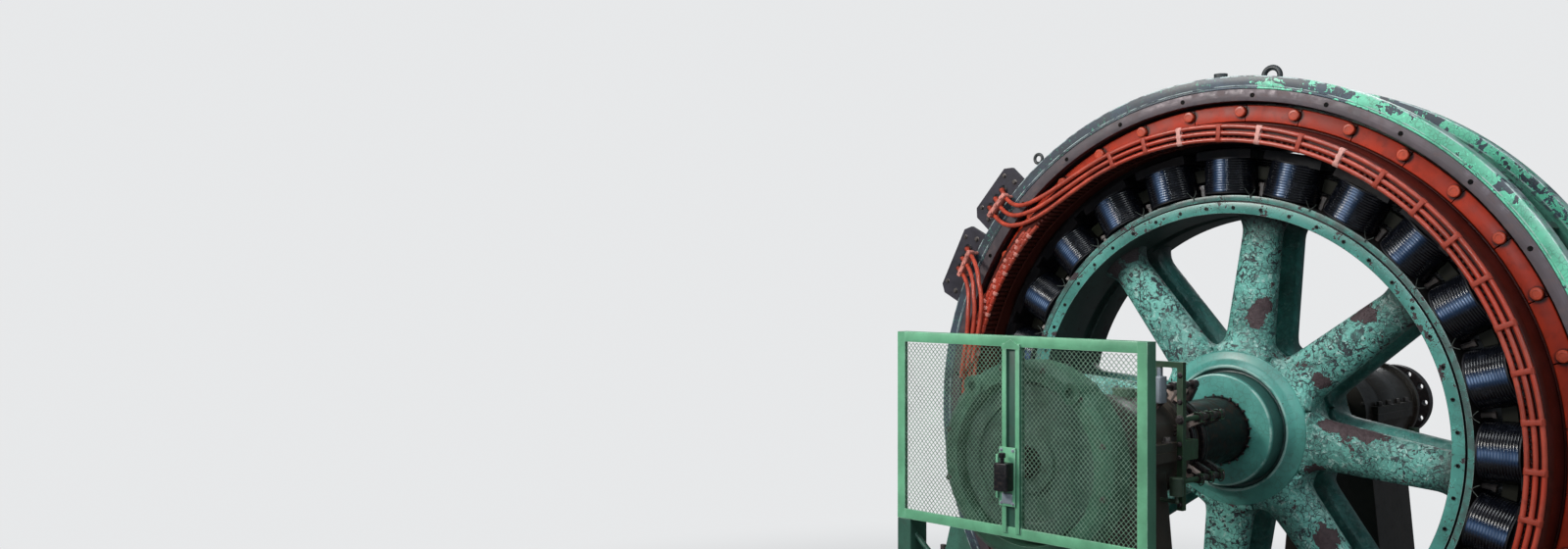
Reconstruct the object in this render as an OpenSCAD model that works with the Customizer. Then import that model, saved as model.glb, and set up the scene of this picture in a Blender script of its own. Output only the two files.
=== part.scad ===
// Horizontal-shaft hydroelectric generator: salient-pole rotor in its stator frame.
// Millimetres. +Y runs along the shaft away from the exciter end, +X right, +Z up.
// The origin is the middle of the foundation slab's underside, below the middle of the stator.

/* [Main sizes] */
// Outer radius of the two stator frame rings
ring_or = 1800; // [1770:1:1860]
// Outside width of the stator frame, front face to rear face
frame_w = 655; // [600:1:720]
// Outside width of the rim of the rotor
rim_w = 550; // [500:1:580]
// Radius of the shaft between the bearings
shaft_r = 166; // [140:1:180]
// Radius of the journals in the two bearings
journal_r = 130; // [100:1:138]

/* [Shaft] */
// Distance from the stator's front face to the rear end of the slip rings
slip_near = 473; // [440:1:520]
// Length of the slip ring assembly
slip_len = 243; // [200:1:270]
// Radius of the insulating bush under the slip rings
slip_bush_r = 186; // [182:1:192]
// Radius of the slip rings
slip_r = 214; // [200:1:225]
// Width of each slip ring
slip_w = 46; // [30:1:60]
// Number of slip rings
slip_count = 3; // [2:1:3]
// Distance from the stator's front face to the rear end of the front bearing
front_brg_near = 716; // [716:1:760]
// Length of each bearing housing
brg_len = 781; // [700:1:840]
// Distance from the stator's rear face to the near end of the rear bearing
rear_brg_near = 560; // [480:1:640]
// Radius of the shaft's front end, under the armature
stub_r = 70; // [50:1:90]
// Distance from the rear bearing to the coupling hub
coupling_gap = 90; // [40:1:160]
// Radius of the coupling hub
coupling_hub_r = 165; // [150:1:180]
// Length of the coupling hub up to its flange
coupling_hub_len = 150; // [80:1:220]
// Radius of the coupling flange
coupling_r = 225; // [215:1:260]
// Thickness of the coupling flange
coupling_t = 60; // [40:1:90]
// Number of holes in the coupling flange
coupling_holes = 12; // [8:1:16]
// Pitch circle radius of the coupling holes
coupling_pcr = 195; // [185:1:200]
// Radius of each coupling hole
coupling_hole_r = 17; // [10:1:18]
// Radius of the raised spigot on the coupling face
spigot_r = 110; // [60:1:120]
// Height of that spigot
spigot_h = 12; // [5:1:20]

/* [Rotor wheel] */
// Radius of the hub's boss
hub_boss_r = 286; // [260:1:300]
// Radius of the raised lip round the boss
hub_lip_r = 324; // [312:1:350]
// Width of that lip
hub_lip_w = 14; // [8:1:24]
// Depth of the groove between the boss and the lip
hub_groove = 34; // [10:1:50]
// Radius of the hub body that the arms grow from
hub_r = 401; // [380:1:420]
// Length of the hub over its bosses
hub_len = 744; // [640:1:780]
// Length of the hub over its lips
lip_len = 546; // [520:1:600]
// Length of the hub body at its edge
hub_body_len = 478; // [430:1:510]
// Distance of the hub's and the arms' middle behind the middle of the rim
wheel_shift = 57; // [0:1:60]
// Number of arms in each of the two rows
arms = 8; // [6:1:10]
// Angle of the first arm from the horizontal
arm_phase = 38; // [0:0.5:45]
// Distance between the centre planes of the two rows of arms
row_gap = 265; // [240:1:280]
// Half width of an arm at the hub, across the shaft
arm_root_w = 138; // [110:1:140]
// Half width of an arm at its middle
arm_mid_w = 108; // [80:1:116]
// Half width of an arm at the rim
arm_tip_w = 103; // [80:1:120]
// Half thickness of an arm at the hub, along the shaft
arm_root_t = 76; // [60:1:77]
// Half thickness of an arm at the rim
arm_tip_t = 68; // [50:1:72]
// Thickness of the rim, from its inside to the seat of the poles
rim_t = 95; // [70:1:110]
// Width of the raised ring on each face of the rim, from the inside out
rim_ring_w = 59; // [40:1:70]
// Width of the groove outside that ring
rim_line_w = 6; // [4:1:12]
// Depth of that groove
rim_line_d = 20; // [8:1:30]
// Depth by which the band outside the groove lies behind the ring
rim_band_in = 7; // [3:1:15]
// Depth of the groove round the inside of the rim, between the rows of arms
rim_groove = 24; // [5:1:35]
// Width of that groove
rim_groove_w = 92; // [60:1:100]
// Number of poles
poles = 24; // [20:2:26]
// Angle of the first pole from the horizontal
pole_phase = 0; // [0:0.5:15]
// Space between two field coils at the rim
coil_space = 46; // [30:1:70]
// Length of a pole body along the shaft
pole_l = 500; // [440:1:520]
// Height of a pole, from the rim to its tip
pole_h = 236; // [220:1:260]
// Air gap between the poles and the stator's bore
air_gap = 12; // [8:1:20]
// Thickness of a pole shoe
shoe_t = 40; // [25:1:50]
// Space between two pole shoes
shoe_space = 82; // [60:1:110]
// Length of a pole shoe along the shaft
shoe_l = 520; // [480:1:540]
// Thickness of a field coil's winding
coil_t = 46; // [30:1:50]
// Clearance between a coil and its pole body
coil_gap = 1; // [0.5:0.5:3]
// Clearance under and over a coil
coil_end_gap = 6; // [2:1:10]
// Distance of the wedges below the tips of the poles
wedge_in = 82; // [70:1:100]
// Height of the wedges between the coils
wedge_h = 66; // [40:1:80]
// Length of a wedge along the shaft
wedge_l = 50; // [30:1:70]
// Clearance between a wedge and the coils
wedge_clear = 0.3; // [0.1:0.1:0.5]
// Radius of a field lead
lead_r = 9; // [6:1:12]
// Distance between the two field leads on an arm
lead_gap = 60; // [40:1:80]
// Clearance between the field leads and the arm they run down
lead_clear = 4; // [1:1:8]
// Number of bolts round each face of the rim
rim_bolts = 48; // [24:24:48]
// Radius of a rim bolt head
rim_bolt_r = 9; // [6:1:16]
// Height of a rim bolt head
rim_bolt_h = 4; // [3:1:14]

/* [Stator] */
// Depth of a frame ring, from its outside to the stator core
ring_depth = 150; // [120:1:180]
// Depth of the stator core, from its outside to the bore
core_d = 200; // [180:1:220]
// Length of the stator core
core_w = 440; // [400:1:460]
// Number of cooling ducts in the core
ducts = 7; // [3:1:9]
// Width of a cooling duct
duct_w = 14; // [8:1:18]
// Depth of a cooling duct, from the outside
duct_d = 40; // [20:1:70]
// Depth of the step on a frame ring's inner side, below the outside
step_in = 63; // [40:1:80]
// Thickness of a frame ring's outer flange
flange_t = 90; // [70:1:100]
// Thickness of that step
step_t = 60; // [40:1:70]
// Width of the machined face ring
face_w = 62; // [40:1:70]
// Distance of the machined face ring inside the frame ring's edge
face_in = 66; // [50:1:80]
// Thickness of the machined face ring
face_t = 38; // [20:1:44]
// Number of ribs between the frame rings
ribs = 36; // [24:1:40]
// Angle of the first rib and of the first clamp bolt
rib_phase = 6; // [0:0.5:10]
// Thickness of a rib
rib_t = 38; // [20:1:60]
// Width of a clamp ring
clamp_w = 86; // [70:1:92]
// Gap between a clamp ring and the face ring
clamp_gap = 15; // [8:1:24]
// Thickness of a clamp ring
clamp_t = 66; // [40:1:76]
// Radius of a clamp bolt's head
clamp_bolt_r = 24; // [16:1:30]
// Height of a clamp bolt's head
clamp_bolt_h = 24; // [14:1:34]
// Step from the bore to the end windings
wind_step = 12; // [10:1:16]
// Depth of the end windings where they leave the core
wind_d = 96; // [80:1:100]
// Reach of the end windings beyond the core
wind_l = 228; // [180:1:240]
// Radius of a bus rod
rod_r = 12; // [8:1:13]
// Step from the winding's inside to the innermost bus rod's run
rod_in = 6; // [4:1:12]
// Distance between two bus rods
rod_pitch = 34; // [30:1:36]
// Number of clamps that hold the bus rods
rod_clamps = 45; // [24:1:48]
// Angle of the first of those clamps
rod_clamp_phase = 6.8; // [0:0.1:8]
// Width of a bus rod clamp
rod_clamp_w = 30; // [16:1:40]
// Thickness of a bus rod clamp in front of the rods
rod_clamp_t = 5; // [3:1:8]

/* [Terminals and lifting eyes] */
// Angle of the middle of the upper terminal board
board_up_a = 137.85; // [132:0.05:139]
// Angle of the middle of the lower terminal board
board_low_a = 152.3; // [150:0.1:158]
// Length of the upper terminal board
board_up_l = 382; // [340:1:400]
// Length of the lower terminal board
board_low_l = 450; // [400:1:460]
// Thickness of a terminal board
board_t = 24; // [16:1:40]
// Height of a terminal board outside the frame ring
board_h = 142; // [120:1:180]
// Cut of a terminal board's outer corners
board_cut = 40; // [20:1:60]
// Size of the brackets behind a terminal board
board_bracket = 56; // [40:1:80]
// Distance of the holes in a terminal board from the frame ring
term_off = 62; // [50:1:80]
// Radius of those holes
term_r = 21; // [18:1:26]
// Angle of the middle hole of the upper board
term_up_a = 138.2; // [136:0.1:139]
// Angle of the middle hole of the lower board
term_low_a = 151.4; // [150:0.1:154]
// Angle between two of those holes
term_pitch = 2.05; // [1.8:0.05:2.5]
// Angle over which an upper bus lead sweeps out from its rod to its hole
lead_up_sweep = 23; // [22:0.1:23.5]
// Angle over which a lower bus lead sweeps out
lead_low_sweep = 19.4; // [18.8:0.1:20]
// Radius of a bus lead
bus_lead_r = 13; // [8:1:16]
// Bore radius of a lifting eye
eye_r = 30; // [20:1:36]
// Thickness of a lifting eye's ring
eye_bar_r = 15; // [10:1:18]
// Angle of the small eye at the upper left
small_eye_a = 127.6; // [124:0.1:130]

/* [Feet] */
// Height of the stator feet's underside below the shaft axis
foot_drop = 1017; // [960:1:1080]
// Reach of the stator feet beyond the frame rings
foot_out = 153; // [120:1:200]
// Depth of the stator feet's sole under the frame rings
foot_under = 240; // [200:1:260]
// Thickness of the sole of a foot
sole_t = 60; // [40:1:80]
// Height of a foot over its sole
foot_h = 330; // [260:1:420]
// Thickness of a foot's web
web_t = 44; // [30:1:60]
// Number of webs in each foot
webs = 3; // [2:1:4]
// Radius of a foot bolt
foot_bolt_r = 18; // [12:1:24]
// Clearance of a foot bolt in its hole
foot_bolt_clear = 1; // [0.5:0.5:3]

/* [Bearings] */
// Bore clearance of the bearing bushes on their journals
brg_clear = 0.08; // [0.02:0.01:0.1]
// Outer radius of a bearing bush
bush_or = 168; // [160:1:176]
// Radius of a bearing housing
brg_r = 232; // [220:1:245]
// Radius of the flanges at a housing's ends
brg_flange_r = 256; // [250:1:270]
// Thickness of those flanges
brg_flange_t = 34; // [24:1:50]
// Clearance between a bearing's end and the shaft's shoulder
shoulder_gap = 6; // [3:1:10]
// Half width of a pedestal at its top
ped_top_w = 205; // [180:1:220]
// Half width of a pedestal at its base
ped_base_w = 300; // [260:1:340]
// Length of a pedestal's column along the shaft
ped_l = 500; // [440:1:560]
// Thickness of a pedestal's base plate
ped_base_t = 60; // [40:1:80]
// Half width of a pedestal's base plate
ped_plate_w = 380; // [360:1:410]
// Length of a pedestal's base plate
ped_plate_l = 680; // [640:1:720]
// Radius of an oil ring cover
oil_cover_r = 52; // [40:1:64]
// Height of an oil ring cover above the housing
oil_cover_h = 34; // [20:1:50]
// Radius of an oil cup
oil_cup_r = 30; // [20:1:38]
// Height of an oil cup
oil_cup_h = 80; // [50:1:110]
// Distance of the oil cups' underside below the shaft axis
oil_cup_drop = 190; // [150:1:230]
// Distance of the oil cups from the ends of the pedestals' columns
oil_cup_in = 60; // [45:1:90]
// Distance of the oil ring covers from the ends of a bearing housing
oil_cover_in = 150; // [120:1:200]

/* [Brush gear] */
// Distance of the upright from the shaft axis
brush_x = 262; // [258:1:290]
// Width of the upright
brush_w = 28; // [20:1:40]
// Depth of the upright along the shaft
brush_d = 30; // [20:1:40]
// Distance of the upright from the bearing's end
brush_back = 106; // [40:1:106]
// Height of the upright above the shaft axis
brush_up = 373; // [300:1:400]
// Reach of the upright below the shaft axis
brush_down = 268; // [200:1:300]
// Height of the brush studs above and below the shaft axis
brush_stud = 140; // [110:1:170]
// Clearance between a brush and its slip ring
brush_clear = 7; // [3:1:10]
// Half height of the bracket that holds the upright
brush_bracket = 44; // [30:1:60]

/* [Exciter end] */
// Outer radius of the exciter's frame ring
exc_or = 430; // [420:1:450]
// Inner radius of the exciter's frame ring
exc_ir = 352; // [345:1:365]
// Length of the exciter's frame ring
exc_l = 130; // [110:1:150]
// Thickness of the exciter's back plate
exc_back_t = 30; // [20:1:40]
// Radius of the exciter's armature
arm_r = 330; // [300:1:338]
// Length of the armature
arm_l = 84; // [70:1:90]
// Radius of the two bosses on the exciter's frame ring
exc_boss_r = 46; // [36:1:52]
// Angle of those bosses from the vertical
exc_boss_a = 39; // [30:1:45]
// Clearance between the armature and the back plate
arm_clear = 12; // [8:1:16]

/* [Guard] */
// Distance from the stator's front face to the guard's front
guard_dist = 1836; // [1790:1:1900]
// Left edge of the guard from the shaft axis
guard_left = 540; // [520:1:580]
// Right edge of the guard from the shaft axis
guard_right = 700; // [640:1:760]
// Top of the guard above the shaft axis
guard_top = 542; // [500:1:600]
// Bottom of the guard below the shaft axis
guard_bottom = 280; // [240:1:330]
// Depth of the guard's box frame
guard_d = 110; // [70:1:120]
// Width of the guard's frame bars
guard_bar = 44; // [34:1:60]
// Thickness of the guard's frame bars
guard_bar_t = 6; // [4:1:10]
// Thickness of the mesh panels
mesh_t = 3; // [2:0.5:5]
// Width of the guard's legs
leg_w = 76; // [60:1:90]
// Radius of the guard's braces
brace_r = 12; // [8:1:18]

/* [Foundation] */
// Thickness of the slab
slab_t = 150; // [120:1:180]
// Width of the slab beyond the stator's plinths
slab_over = 80; // [40:1:200]
// Half length of the slab
slab_y = 2400; // [2380:1:2500]
// Half width of the slab's arm under the shaft
slab_arm_x = 820; // [800:1:1000]
// Half length of the slab's arm under the stator
slab_arm_y = 520; // [500:1:700]
// Depth of the pit between the stator's frame and the slab
pit_gap = 150; // [60:1:400]
// Height of the shaft axis above the powerhouse floor
floor_drop = 1373; // [1300:1:1450]
// Half length of the stator's plinths along the shaft
plinth_y = 460; // [420:1:520]
// Width of the stator's plinths beyond the feet
plinth_over = 127; // [80:1:160]
// Height of the shaft axis above the bearing piers
pier_drop = 1100; // [1000:1:1200]
// Half width of the bearing piers
pier_w = 440; // [420:1:480]
// Length of the bearing piers beyond the pedestals' plates
pier_margin = 60; // [40:1:100]

/* [Hidden] */
fn_big = 180;
fn_mid = 96;
fn_small = 48;
$fn = fn_mid;

axis_z = slab_t + pit_gap + ring_or;
core_or = ring_or - ring_depth;
step_or = ring_or - step_in;
face_or = ring_or - face_in;
face_ir = face_or - face_w;
bore_r = core_or - core_d;
clamp_or = face_ir - clamp_gap;
clamp_ir = clamp_or - clamp_w;
clamp_pcr = clamp_or - clamp_w / 2 + 8;
wind_ir = bore_r + wind_step;
wind_or = wind_ir + wind_d;
rod_run_r = wind_ir + rod_in;
pole_tip_r = bore_r - air_gap;
rim_or = pole_tip_r - pole_h;
rim_ir = rim_or - rim_t;
wedge_r1 = pole_tip_r - wedge_in;
wedge_r0 = wedge_r1 - wedge_h;
floor_z = axis_z - floor_drop;
pier_z = axis_z - pier_drop;
foot_reach = ring_or + foot_out;
foot_in = ring_or - foot_under;
plinth_in = foot_in;
plinth_out = foot_reach + plinth_over;
slab_x = plinth_out + slab_over;
yf = -frame_w / 2;
yr = frame_w / 2;
slip_y1 = yf - slip_near;
slip_y0 = slip_y1 - slip_len;
fb_y1 = yf - front_brg_near;
fb_y0 = fb_y1 - brg_len;
rb_y0 = yr + rear_brg_near;
rb_y1 = rb_y0 + brg_len;
exc_back_y1 = fb_y0;
exc_back_y0 = exc_back_y1 - exc_back_t;
exc_y0 = exc_back_y0 - exc_l;
armature_y1 = exc_back_y0 - arm_clear;
armature_y0 = armature_y1 - arm_l;
stub_y0 = armature_y0 - 16;
hub_coupling_y = rb_y1 + coupling_gap;
flange_y0 = hub_coupling_y + coupling_hub_len;
flange_y1 = flange_y0 + coupling_t;
foot_z = axis_z - foot_drop;
coil_r0 = rim_or + 10 + coil_end_gap;
pole_w = 2 * coil_r0 * tan(180 / poles) - 2 * (coil_gap + coil_t) - coil_space;
shoe_w = 2 * pole_tip_r * tan(180 / poles) - shoe_space;
coil_r1 = pole_tip_r - shoe_t - coil_end_gap - 6;
coil_w = pole_w + 2 * (coil_gap + coil_t);
coil_l = pole_l + 2 * (coil_gap + coil_t);
guard_y = yf - guard_dist;
fp_y0 = (fb_y0 + fb_y1) / 2 - ped_plate_l / 2 - pier_margin;
fp_y1 = (fb_y0 + fb_y1) / 2 + ped_plate_l / 2 + pier_margin;
rp_y0 = (rb_y0 + rb_y1) / 2 - ped_plate_l / 2 - pier_margin;
rp_y1 = (rb_y0 + rb_y1) / 2 + ped_plate_l / 2 + pier_margin;

// Local Z becomes the shaft direction, from the world's Y = 0.
module on_axis() translate([0, 0, axis_z]) rotate([-90, 0, 0]) children();

// Local X points out at an angle a above the horizontal, local Z along the shaft.
module at(a) on_axis() rotate([0, 0, -a]) children();

module disc(r, y0, y1, fn = fn_mid) {
  on_axis() translate([0, 0, y0]) cylinder(h = y1 - y0, r = r, $fn = fn);
}

module tube(ri, ro, y0, y1, fn = fn_mid) {
  difference() {
    disc(ro, y0, y1, fn);
    disc(ri, y0 - 1, y1 + 1, fn);
  }
}

module turned(points, fn = fn_mid) {
  on_axis() rotate_extrude($fn = fn) polygon(points);
}

module box(x0, x1, y0, y1, z0, z1) {
  translate([x0, y0, z0]) cube([x1 - x0, y1 - y0, z1 - z0]);
}

// A bar with round ends, standing on local X, its long way along local Z.
module lozenge(r0, r1, w, l) {
  translate([r0, -w / 2, -(l - w) / 2]) cube([r1 - r0, w, l - w]);
  for (s = [-1, 1]) translate([r0, 0, s * (l - w) / 2]) rotate([0, 90, 0]) cylinder(h = r1 - r0, r = w / 2, $fn = fn_small);
}

module rod(p, q, r, fn = 24) {
  d = q - p;
  l = norm(d);
  translate(p) rotate([0, acos(d[2] / l), atan2(d[1], d[0])]) cylinder(h = l, r = r, $fn = fn);
}

module rod_path(pts, r, fn = 24) {
  for (i = [0 : len(pts) - 2]) rod(pts[i], pts[i + 1], r, fn);
  for (i = [1 : len(pts) - 2]) translate(pts[i]) rotate([17, 31, 53]) sphere(r = r * 1.2, $fn = fn);
}

// World place of a point on radius r, at an angle a, at y.
function pol(r, a, y) = [r * cos(a), y, axis_z + r * sin(a)];

module shaft() color("#2b2523") {
  turned([
    [0, stub_y0], [stub_r, stub_y0], [stub_r, fb_y0 - 4], [journal_r, fb_y0 - 4],
    [journal_r, fb_y1 + shoulder_gap], [shaft_r, fb_y1 + shoulder_gap],
    [shaft_r, rb_y0 - shoulder_gap], [journal_r, rb_y0 - shoulder_gap],
    [journal_r, hub_coupling_y], [journal_r - 10, hub_coupling_y],
    [journal_r - 10, flange_y1 - 20], [0, flange_y1 - 20]
  ]);
}

module slip_ring_bush() color("#5c3a26") {
  tube(shaft_r, slip_bush_r, slip_y0 + 12, slip_y1);
}

module slip_rings() color("#3d3a38") {
  pitch = (slip_len - 12 - slip_w) / (slip_count - 1);
  for (i = [0 : slip_count - 1])
    tube(slip_bush_r, slip_r, slip_y0 + 12 + i * pitch, slip_y0 + 12 + i * pitch + slip_w);
}

module coupling_flange() color("#2e2624") {
  difference() {
    union() {
      turned([
        [journal_r - 10, hub_coupling_y], [coupling_hub_r, hub_coupling_y],
        [coupling_hub_r, flange_y0], [coupling_r, flange_y0],
        [coupling_r, flange_y1], [journal_r - 10, flange_y1]
      ]);
      disc(spigot_r, flange_y1 - 20, flange_y1 + spigot_h);
      disc(journal_r - 10, flange_y1 - 20, flange_y1);
    }
    for (i = [0 : coupling_holes - 1]) at(i * 360 / coupling_holes)
      translate([coupling_pcr, 0, flange_y0 - 1]) cylinder(h = coupling_t + 2, r = coupling_hole_r, $fn = fn_small);
  }
}

// Half of the hub's outline, from the shaft out along one side; s is the side.
function hub_half(s) = [for (p = [
    [shaft_r, hub_len / 2], [hub_boss_r - 10, hub_len / 2], [hub_boss_r, hub_len / 2 - 10],
    [hub_boss_r, lip_len / 2 - hub_groove], [hub_lip_r - hub_lip_w, lip_len / 2 - hub_groove],
    [hub_lip_r - hub_lip_w, lip_len / 2 - 4], [hub_lip_r - hub_lip_w + 4, lip_len / 2], [hub_lip_r - 4, lip_len / 2],
    [hub_r - 8, hub_body_len / 2 + 2], [hub_r, hub_body_len / 2 - 6]
  ]) [p[0], wheel_shift + s * p[1]]];

module rotor_hub() color("#5f9486") {
  front = hub_half(-1);
  rear = hub_half(1);
  turned(concat(front, [for (i = [len(rear) - 1 : -1 : 0]) rear[i]]), fn_big);
}

// Half width and half thickness of an arm at a share u of its length, from hub to rim.
function arm_w(u) = u < 0.22 ? arm_mid_w + 6 + (arm_root_w - arm_mid_w - 6) * pow(1 - u / 0.22, 2)
  : u > 0.86 ? arm_tip_w - 6 + (arm_tip_w - arm_mid_w + 16) * pow((u - 0.86) / 0.14, 2)
  : arm_mid_w + 6 - (arm_mid_w + 12 - arm_tip_w) * (u - 0.22) / 0.64;
function arm_t(u) = arm_root_t + (arm_tip_t - arm_root_t) * u;

module arm_solid() {
  n = 24;
  us = [0, 0.08, 0.22, 0.86, 0.94, 1];
  r0 = hub_r - 40;
  r1 = rim_ir + 16;
  pts = [for (u = us, i = [0 : n - 1]) [r0 + (r1 - r0) * u, arm_w(u) * cos(360 * i / n), arm_t(u) * sin(360 * i / n)]];
  m = len(us);
  sides = [for (k = [0 : m - 2], i = [0 : n - 1]) [k * n + i, k * n + (i + 1) % n, (k + 1) * n + (i + 1) % n, (k + 1) * n + i]];
  polyhedron(pts, concat(sides, [[for (i = [0 : n - 1]) n - 1 - i]], [[for (i = [0 : n - 1]) (m - 1) * n + i]]));
}

module arm_row(y) {
  intersection() {
    union() for (i = [0 : arms - 1]) at(arm_phase + i * 360 / arms) translate([0, 0, y]) arm_solid();
    tube(hub_r, rim_ir, y - 120, y + 120, fn_big);
  }
}

module front_arms() color("#6ba394") arm_row(wheel_shift - row_gap / 2);

module rear_arms() color("#6ba394") arm_row(wheel_shift + row_gap / 2);

// One face of the rim: the raised ring, the groove outside it and the band; s is the side.
function rim_face(s) = [for (p = [
    [rim_ir, rim_w / 2], [rim_ir + rim_ring_w, rim_w / 2], [rim_ir + rim_ring_w, rim_w / 2 - rim_line_d],
    [rim_ir + rim_ring_w + rim_line_w, rim_w / 2 - rim_line_d],
    [rim_ir + rim_ring_w + rim_line_w, rim_w / 2 - rim_band_in], [rim_or, rim_w / 2 - rim_band_in]
  ]) [p[0], s * p[1]]];

module rotor_rim() color("#6ba394") {
  rear = rim_face(1);
  turned(concat(rim_face(-1), [for (i = [len(rear) - 1 : -1 : 0]) rear[i]], [
    [rim_ir, wheel_shift + rim_groove_w / 2], [rim_ir + rim_groove, wheel_shift + rim_groove_w / 2],
    [rim_ir + rim_groove, wheel_shift - rim_groove_w / 2], [rim_ir, wheel_shift - rim_groove_w / 2]
  ]), fn_big);
}

module rim_bolts() color("#3c3a3a") {
  for (i = [0 : rim_bolts - 1], s = [-1, 1]) at(arm_phase + (i + 0.5) * 360 / rim_bolts)
    translate([rim_ir + rim_ring_w / 2, 0, s > 0 ? rim_w / 2 : -rim_w / 2 - rim_bolt_h])
      cylinder(h = rim_bolt_h, r = rim_bolt_r, $fn = 6);
}

module pole_bodies() color("#26262a") {
  difference() {
    union() for (i = [0 : poles - 1]) at(pole_phase + i * 360 / poles) {
      intersection() {
        lozenge(rim_or - 20, pole_tip_r - shoe_t + 1, pole_w, pole_l);
        translate([0, 0, -pole_l]) cylinder(h = 2 * pole_l, r = pole_tip_r, $fn = fn_big);
      }
      intersection() {
        translate([pole_tip_r - shoe_t - 12, -shoe_w / 2, -shoe_l / 2]) cube([shoe_t + 30, shoe_w, shoe_l]);
        translate([0, 0, -pole_l]) cylinder(h = 2 * pole_l, r = pole_tip_r, $fn = fn_big);
      }
    }
    disc(rim_or, -pole_l, pole_l, fn_big);
  }
}

module field_coils() color("#15161a") {
  for (i = [0 : poles - 1]) at(pole_phase + i * 360 / poles) difference() {
    lozenge(coil_r0, coil_r1, coil_w, coil_l);
    lozenge(coil_r0 - 1, coil_r1 + 1, pole_w + 2 * coil_gap, pole_l + 2 * coil_gap);
  }
}

// Half width of the gap between two coils at radius x.
function gap_half(x) = x * tan(180 / poles) - coil_w / 2 / cos(180 / poles) - wedge_clear;

module coil_wedges() color("#6f7350") {
  y = (coil_l - coil_w) / 2;
  for (i = [0 : poles - 1], s = [-1, 1]) at(pole_phase + (i + 0.5) * 360 / poles)
    translate([0, 0, s > 0 ? y - wedge_l : -y]) linear_extrude(wedge_l) polygon([
      [wedge_r0, -gap_half(wedge_r0)], [wedge_r1, -gap_half(wedge_r1)],
      [wedge_r1, gap_half(wedge_r1)], [wedge_r0, gap_half(wedge_r0)]
    ]);
}

module field_leads() color("#2c2c2e") {
  a = arm_phase + 4 * 360 / arms;
  y_arm = wheel_shift - row_gap / 2 - arm_root_t - lead_clear - lead_r;
  y_hub = wheel_shift - hub_len / 2 - lead_clear - lead_r;
  y_rim = -rim_w / 2 - 1.2 * lead_r - 0.3;
  cleat = 2 * lead_r + 8;
  on_axis() rotate([0, 0, -a]) {
    for (s = [-1, 1]) rod_path([
      [shaft_r + lead_r, s * lead_gap / 2, slip_y1],
      [shaft_r + lead_r, s * lead_gap / 2, y_hub],
      [hub_boss_r + 36, s * lead_gap / 2, y_hub],
      [hub_r + 44, s * lead_gap / 2, y_arm],
      [rim_ir - 60, s * lead_gap / 2, y_arm],
      [rim_ir - 8, s * lead_gap / 2, y_rim],
      [rim_or + 3, s * lead_gap / 2, y_rim]
    ], lead_r);
    translate([rim_ir + 16, -lead_gap / 2 - cleat / 2, -rim_w / 2 - cleat]) cube([26, lead_gap + cleat, cleat]);
  }
}

module armature() color("#4c6b5e") {
  turned([
    [stub_r, armature_y0], [stub_r + 60, armature_y0], [stub_r + 60, armature_y0 + 24],
    [arm_r - 70, armature_y0 + 24], [arm_r - 70, armature_y0 + 8], [arm_r, armature_y0 + 8],
    [arm_r, armature_y1 - 8], [arm_r - 60, armature_y1 - 8], [arm_r - 60, armature_y1 - 22],
    [stub_r + 60, armature_y1 - 22], [stub_r + 60, armature_y1], [stub_r, armature_y1]
  ]);
}

module frame_ring(s) {
  pts = [
    [face_or, frame_w / 2], [ring_or, frame_w / 2], [ring_or, frame_w / 2 - flange_t],
    [step_or, frame_w / 2 - flange_t], [step_or, frame_w / 2 - flange_t - step_t],
    [core_or, frame_w / 2 - flange_t - step_t], [core_or, core_w / 2], [face_ir, core_w / 2],
    [face_ir, frame_w / 2 - face_t], [face_or, frame_w / 2 - face_t]
  ];
  turned([for (p = pts) [p[0], s * p[1]]], fn_big);
}

module front_frame_ring() color("#63b095") frame_ring(-1);

module rear_frame_ring() color("#5a9c86") frame_ring(1);

module front_face_ring() color("#5b555e") tube(face_ir, face_or, yf, yf + face_t, fn_big);

module rear_face_ring() color("#5b555e") tube(face_ir, face_or, yr - face_t, yr, fn_big);

module frame_ribs() color("#4d8672") {
  y = frame_w / 2 - flange_t - step_t;
  intersection() {
    union() for (i = [0 : ribs - 1]) at(rib_phase + i * 360 / ribs)
      translate([core_or - 10, -rib_t / 2, -y]) cube([step_or - core_or + 40, rib_t, 2 * y]);
    tube(core_or, step_or, -frame_w, frame_w, fn_big);
  }
}

module stator_core() color("#2a2629") {
  p = core_w / (ducts + 1);
  outer = [for (k = [1 : ducts], q = [0 : 3])
    [q == 0 || q == 3 ? core_or : core_or - duct_d, -core_w / 2 + k * p + (q < 2 ? -duct_w / 2 : duct_w / 2)]];
  turned(concat([[bore_r, core_w / 2], [bore_r, -core_w / 2], [core_or, -core_w / 2]], outer, [[core_or, core_w / 2]]), fn_big);
}

module front_clamp_ring() color("#a8321f") tube(clamp_ir, clamp_or, -core_w / 2 - clamp_t, -core_w / 2, fn_big);

module rear_clamp_ring() color("#a8321f") tube(clamp_ir, clamp_or, core_w / 2, core_w / 2 + clamp_t, fn_big);

module clamp_bolts() color("#b63a24") {
  y = core_w / 2 + clamp_t;
  for (i = [0 : ribs - 1], s = [-1, 1]) at(rib_phase + i * 360 / ribs)
    translate([clamp_pcr, 0, s > 0 ? y : -y - clamp_bolt_h]) cylinder(h = clamp_bolt_h, r = clamp_bolt_r, $fn = 24);
}

module winding(s) {
  y = core_w / 2;
  pts = [[wind_ir, y], [wind_or, y], [wind_or, y + wind_l * 0.72], [wind_or - 4, y + wind_l * 0.92],
    [wind_or - 12, y + wind_l], [wind_ir + 4, y + wind_l], [wind_ir, y + wind_l * 0.96]];
  turned([for (p = pts) [p[0], s * p[1]]], fn_big);
}

module front_winding() color("#8e2a1c") winding(-1);

module rear_winding() color("#8e2a1c") winding(1);

rod_y = -core_w / 2 - wind_l - rod_r;

module bus_rods() color("#c8472f") {
  for (i = [0 : 2]) on_axis() translate([0, 0, rod_y]) rotate_extrude($fn = fn_big)
    translate([rod_run_r + i * rod_pitch, 0]) circle(r = rod_r, $fn = 16);
}

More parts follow.
